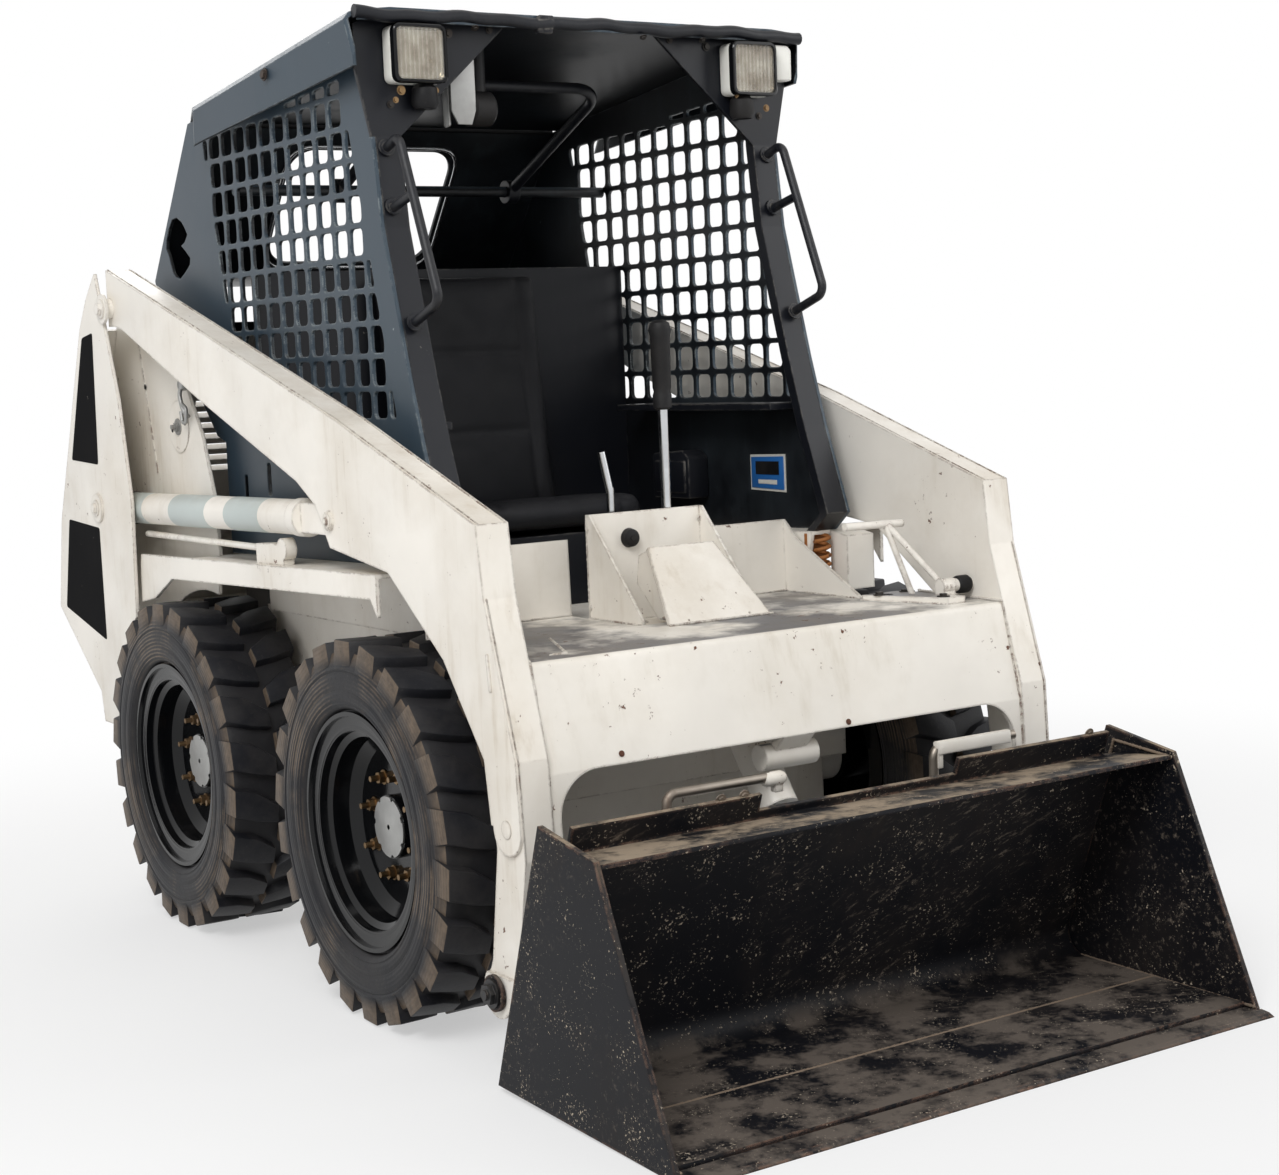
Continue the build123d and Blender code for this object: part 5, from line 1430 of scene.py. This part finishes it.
def welds(name, lines, radius, finish, body, both=True):
    """Beads along lines of points in millimetres, on one side of the machine or both."""
    if both:
        lines = [*lines, *[[(-x, y, z) for x, y, z in line] for line in lines]]
    points, edges = [], []
    for line in lines:
        edges += [(len(points) + step, len(points) + step + 1) for step in range(len(line) - 1)]
        points += [Vector(point) * MM for point in line]
    mesh = bpy.data.meshes.new(name)
    mesh.from_pydata(points, edges, [])
    values = {"Radius": radius * MM, "Spacing": radius * 1.1 * MM, "Seed": len(points)}
    return baked(name, mesh, WELDS, WELD_SOCKETS, values, finish, body, smooth=80)


print("weld tree", len(WELDS.nodes), "nodes")

# %% [markdown]
# ## Arms and towers
# Two black fields are painted on the outside of each tower. The lift barrel carries pale grey-blue bands.
# Bolts cap the pins, and weld lines run along the arms' folded edges and round their joints.

# %% Black fields and grey-blue bands
TOWER_OUT, ARM_OUT, ARM_IN = 612, 596, 532
FIELDS = (((1068, 1309), (996, 1319), (1014, 1014), (1195, 1022)),
          ((1244, 877), (1035, 865), (1035, 599), (1308, 659)))
fields = Shape()
for outline in FIELDS:
    fields.prism(rounded_corners(list(outline), 8), TOWER_OUT - 1, TOWER_OUT + 0.7)
fields.mirrored().piece("tower_fields", "matte_black", "chassis")

LIFT_BASE, LIFT_EYE, CYLINDER_X = (-188, 930), (1030, 912), 564
lift_way = Vector((0, LIFT_EYE[0] - LIFT_BASE[0], LIFT_EYE[1] - LIFT_BASE[1])).normalized()
# distance from the foot's pin: from, to, radius and finish
BANDS = (((331, 505), 35.5, "grey_band"), ((611, 813), 35.5, "grey_band"), ((977, 1100), 35.5, "grey_band"),
         ((1098, 1123), 37.5, "dark_steel"))
for hand, sign in (("right", -1), ("left", 1)):
    for number, ((start, end), radius, finish) in enumerate(BANDS):
        foot = Vector((sign * CYLINDER_X, *LIFT_BASE))
        band = Shape()
        band.bar([foot + lift_way * start, foot + lift_way * end], radius, sides=48)
        band.piece(f"barrel_band_{number}_{hand}", finish, f"lift_barrel_{hand}", smooth=60)

# %% Pins, covers and hooks
pins = [((TOWER_OUT + 6, 909, 1370), (1, 0, 0), 15), ((TOWER_OUT + 6, 1030, 912), (1, 0, 0), 13)]
bolts("tower_pins", pins, "cream_paint", "chassis", both=True, **{"Washer Radius": 1.5})
bolts("cover_bolts", [((526.5, 716, 1099), (1, 0, 0), 11)], "hub_grey", "chassis", both=True,
      **{"Washer Radius": 1.7, "Stud Height": 1.6})
bolts("lift_pins", [((ARM_OUT + 6, *LIFT_BASE), (1, 0, 0), 8)], "cream_paint", "lift_arms", both=True,
      **{"Washer Radius": 1.9})
bolts("bucket_pins", [((606, -746, 150), (1, 0, 0), 19)], "dark_paint", "bucket", both=True,
      **{"Washer Radius": 1.35, "Head Height": 0.75, "Stud Height": 0.95})
# Black discs sit where the towers' inner plates have holes: painted shade for the dark insides of the holes.
holes = Shape()
for y, z in ((676, 1108), (752, 1092), (868, 1290), (905, 1190)):
    holes.turned(((526.4, 6), (527.2, 6)), (0, y, z), sides=16)
holes.mirrored().piece("cover_holes", "black_rubber", "chassis")
hooks = Shape()
hooks.bar([(531, 668, 1196), (540, 664, 1170), (540, 650, 1138), (531, 640, 1120)], 5, soften=8)
hooks.bar([(540, 652, 1150), (540, 630, 1140), (540, 634, 1108), (540, 656, 1110), (540, 660, 1134)], 4.5,
          soften=8)
hooks.turned(((524, 13), (536, 13), (538, 11)), (0, 668, 1192), sides=20)
hooks.mirrored().piece("tower_hooks", "hub_grey", "chassis", smooth=60)

ARM_TOP = ((925, 1458), (-231, 1119), (-745, 946), (-761, 822), (-841, 557), (-850, 391))
welds("arm_seams", [[(590, y, z + 0.5) for y, z in ARM_TOP[:3]],
                    [(ARM_IN + 6, y, z + 0.5) for y, z in ARM_TOP[:3]],
                    [(590, y - 0.6, z) for y, z in ARM_TOP[3:]]], 1.8, "cream_paint", "lift_arms")
welds("cross_welds", [[(531, -793, 714), (531, -552, 718)],
                      [(531, -795, 708), (531, -838, 530), (531, -846, 395)],
                      [(462, -746, 713), (430, -746, 713), (360, -578, 715)]], 3, "cream_paint", "lift_arms")
welds("guard_welds", [[(-118, -606, 717), (118, -606, 717)], [(70, -598, 722), (74, -520, 720)],
                      [(-70, -598, 722), (-74, -520, 720)]], 2.5, "cream_paint", "lift_arms", both=False)
welds("tray_welds", [[(136, -538, 713), (136, -358, 713), (136, -358, 905)],
                     [(394, -536, 713), (394, -294, 713)], [(136, -291, 714), (394, -291, 714)]], 2.2,
      "cream_paint", "chassis")
PLUG = (-803, 440)
plugs = Shape()
plugs.turned(((ARM_OUT - 1, 16), (ARM_OUT + 1.5, 16), (ARM_OUT + 2.5, 12)), (0, *PLUG), sides=28)
plugs.prism(rounded_corners([(-777, 668), (-768, 668), (-762, 732), (-770, 732)], 4), ARM_OUT - 1,
            ARM_OUT + 2.5, rounded=1)
plugs.mirrored().piece("arm_plugs", "cream_paint", "lift_arms")

# %% [markdown]
# ## The front
# Small things at the operator's feet: the console's knob and bolts, a gusset beside the tray, a rusty spring
# in the gap beside it, the cap of the hydraulic coupler, and rusty nubs where brackets once sat on the front
# plate.

# %% Front fittings
KNOB_AT = (-40, 0, 862)
knob = Shape()
knob.turned(((-374, 12), (-372, 17), (-360, 19), (-358, 19)), KNOB_AT, "Y", sides=28)
knob.turned(((-376, 5), (-373, 6)), KNOB_AT, "Y", sides=6)
knob.piece("console_knob", "black_rubber", "chassis")
bolts("console_bolts", [((132, -362, 735), (0, -1, 0), 6), ((132, -362, 888), (0, -1, 0), 6),
                        ((104, -500, 713), (0, 0, 1), 5)], "cream_paint", "chassis", both=True,
      **{"Washer Radius": 1.5})
gusset = Shape()
gusset.prism(((-540, 713), (-438, 713), (-520, 800), (-536, 806)), -408, -402, rounded=1)
gusset.bar([(-405, -538, 716), (-446, -538, 716)], 7)
gusset.piece("tray_gusset", "cream_paint", "chassis")
spring = Shape()
spring.bar([(428 + 15 * math.cos(step * 0.9), -372 + 15 * math.sin(step * 0.9), 700 + step * 2.6)
            for step in range(52)], 4.5, sides=8)
spring.prism(((-352, 702), (-346, 702), (-346, 834), (-352, 834)), 402, 454)
spring.piece("gap_spring", "rusty_orange", "chassis", smooth=70)
COUPLER_AT = (0, -700, 742)
coupler = Shape()
coupler.turned(((497, 16), (503, 18), (524, 18), (530, 14)), COUPLER_AT, sides=20, rounded=1)
coupler.piece("coupler_cap", "black_rubber", "lift_arms")
collars = Shape()
for x in (458, 470, 482):
    collars.turned(((x, 17), (x + 6, 17)), COUPLER_AT, sides=6, rounded=1)
collars.turned(((720, 12), (726, 12)), (400, -610, 0), "Z", sides=6)
collars.piece("coupler_nuts", "cream_paint", "lift_arms")
bolts("line_bolts", [((382, -606, 726), (0, 0, 1), 8), ((440, -728, 726), (0, 0, 1), 8),
                     ((452, -598, 726), (0, 0, 1), 6)], "dark_steel", "lift_arms", **{"Washer Radius": 1.6})
bolts("front_nubs", [((-383, -834, 544), (0, -0.97, 0.24), 4), ((109, -836, 536), (0, -0.97, 0.24), 4)],
      "rust_spot", "lift_arms", **{"Head Height": 0.6, "Washer Radius": 1.4})

# %% [markdown]
# ## Bucket
# The plates of the bucket are welded in their corners, the top flanges are bolted, and the latch rods end in
# a white casting on one side and a flat white grip on the other.

# %% Bucket fittings
welds("bucket_welds", [[(623, -1320, 13), (623, -862, 17), (623, -840, 36), (623, -990, 452)],
                       [(623, -1130, 441), (623, -990, 455)]], 3.2, "rust_line", "bucket")
welds("floor_seam", [[(-620, -1085, 16.5), (620, -1085, 16.5)], [(-620, -872, 21), (620, -872, 21)]], 2.8,
      "rust_line", "bucket", both=False)
bolts("flange_bolts", [((x, -1001, 478), (0, -0.94, -0.34), 7) for x in (-300, -252, 548)], "worn_steel",
      "bucket", **{"Washer Radius": 1.5})
grip = Shape()
grip.prism(((-882, 456), (-864, 455), (-864, 480), (-880, 481)), 284, 466, rounded=3)
grip.prism(((-880, 430), (-868, 430), (-868, 470), (-880, 470)), 284, 296, rounded=2)
grip.turned(((-112, 10), (-106, 13), (-74, 13), (-66, 9)), (0, -868, 464), sides=20)
grip.prism(((-876, 440), (-862, 440), (-860, 470), (-878, 470)), -92, -74, rounded=2)
grip.piece("latch_grips", "cream_paint", "bucket")
print("body dressed")

# %% Sizes and the end
low, high = (list(corner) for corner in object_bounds())
print("visual box", [round(v, 3) for v in low + high])
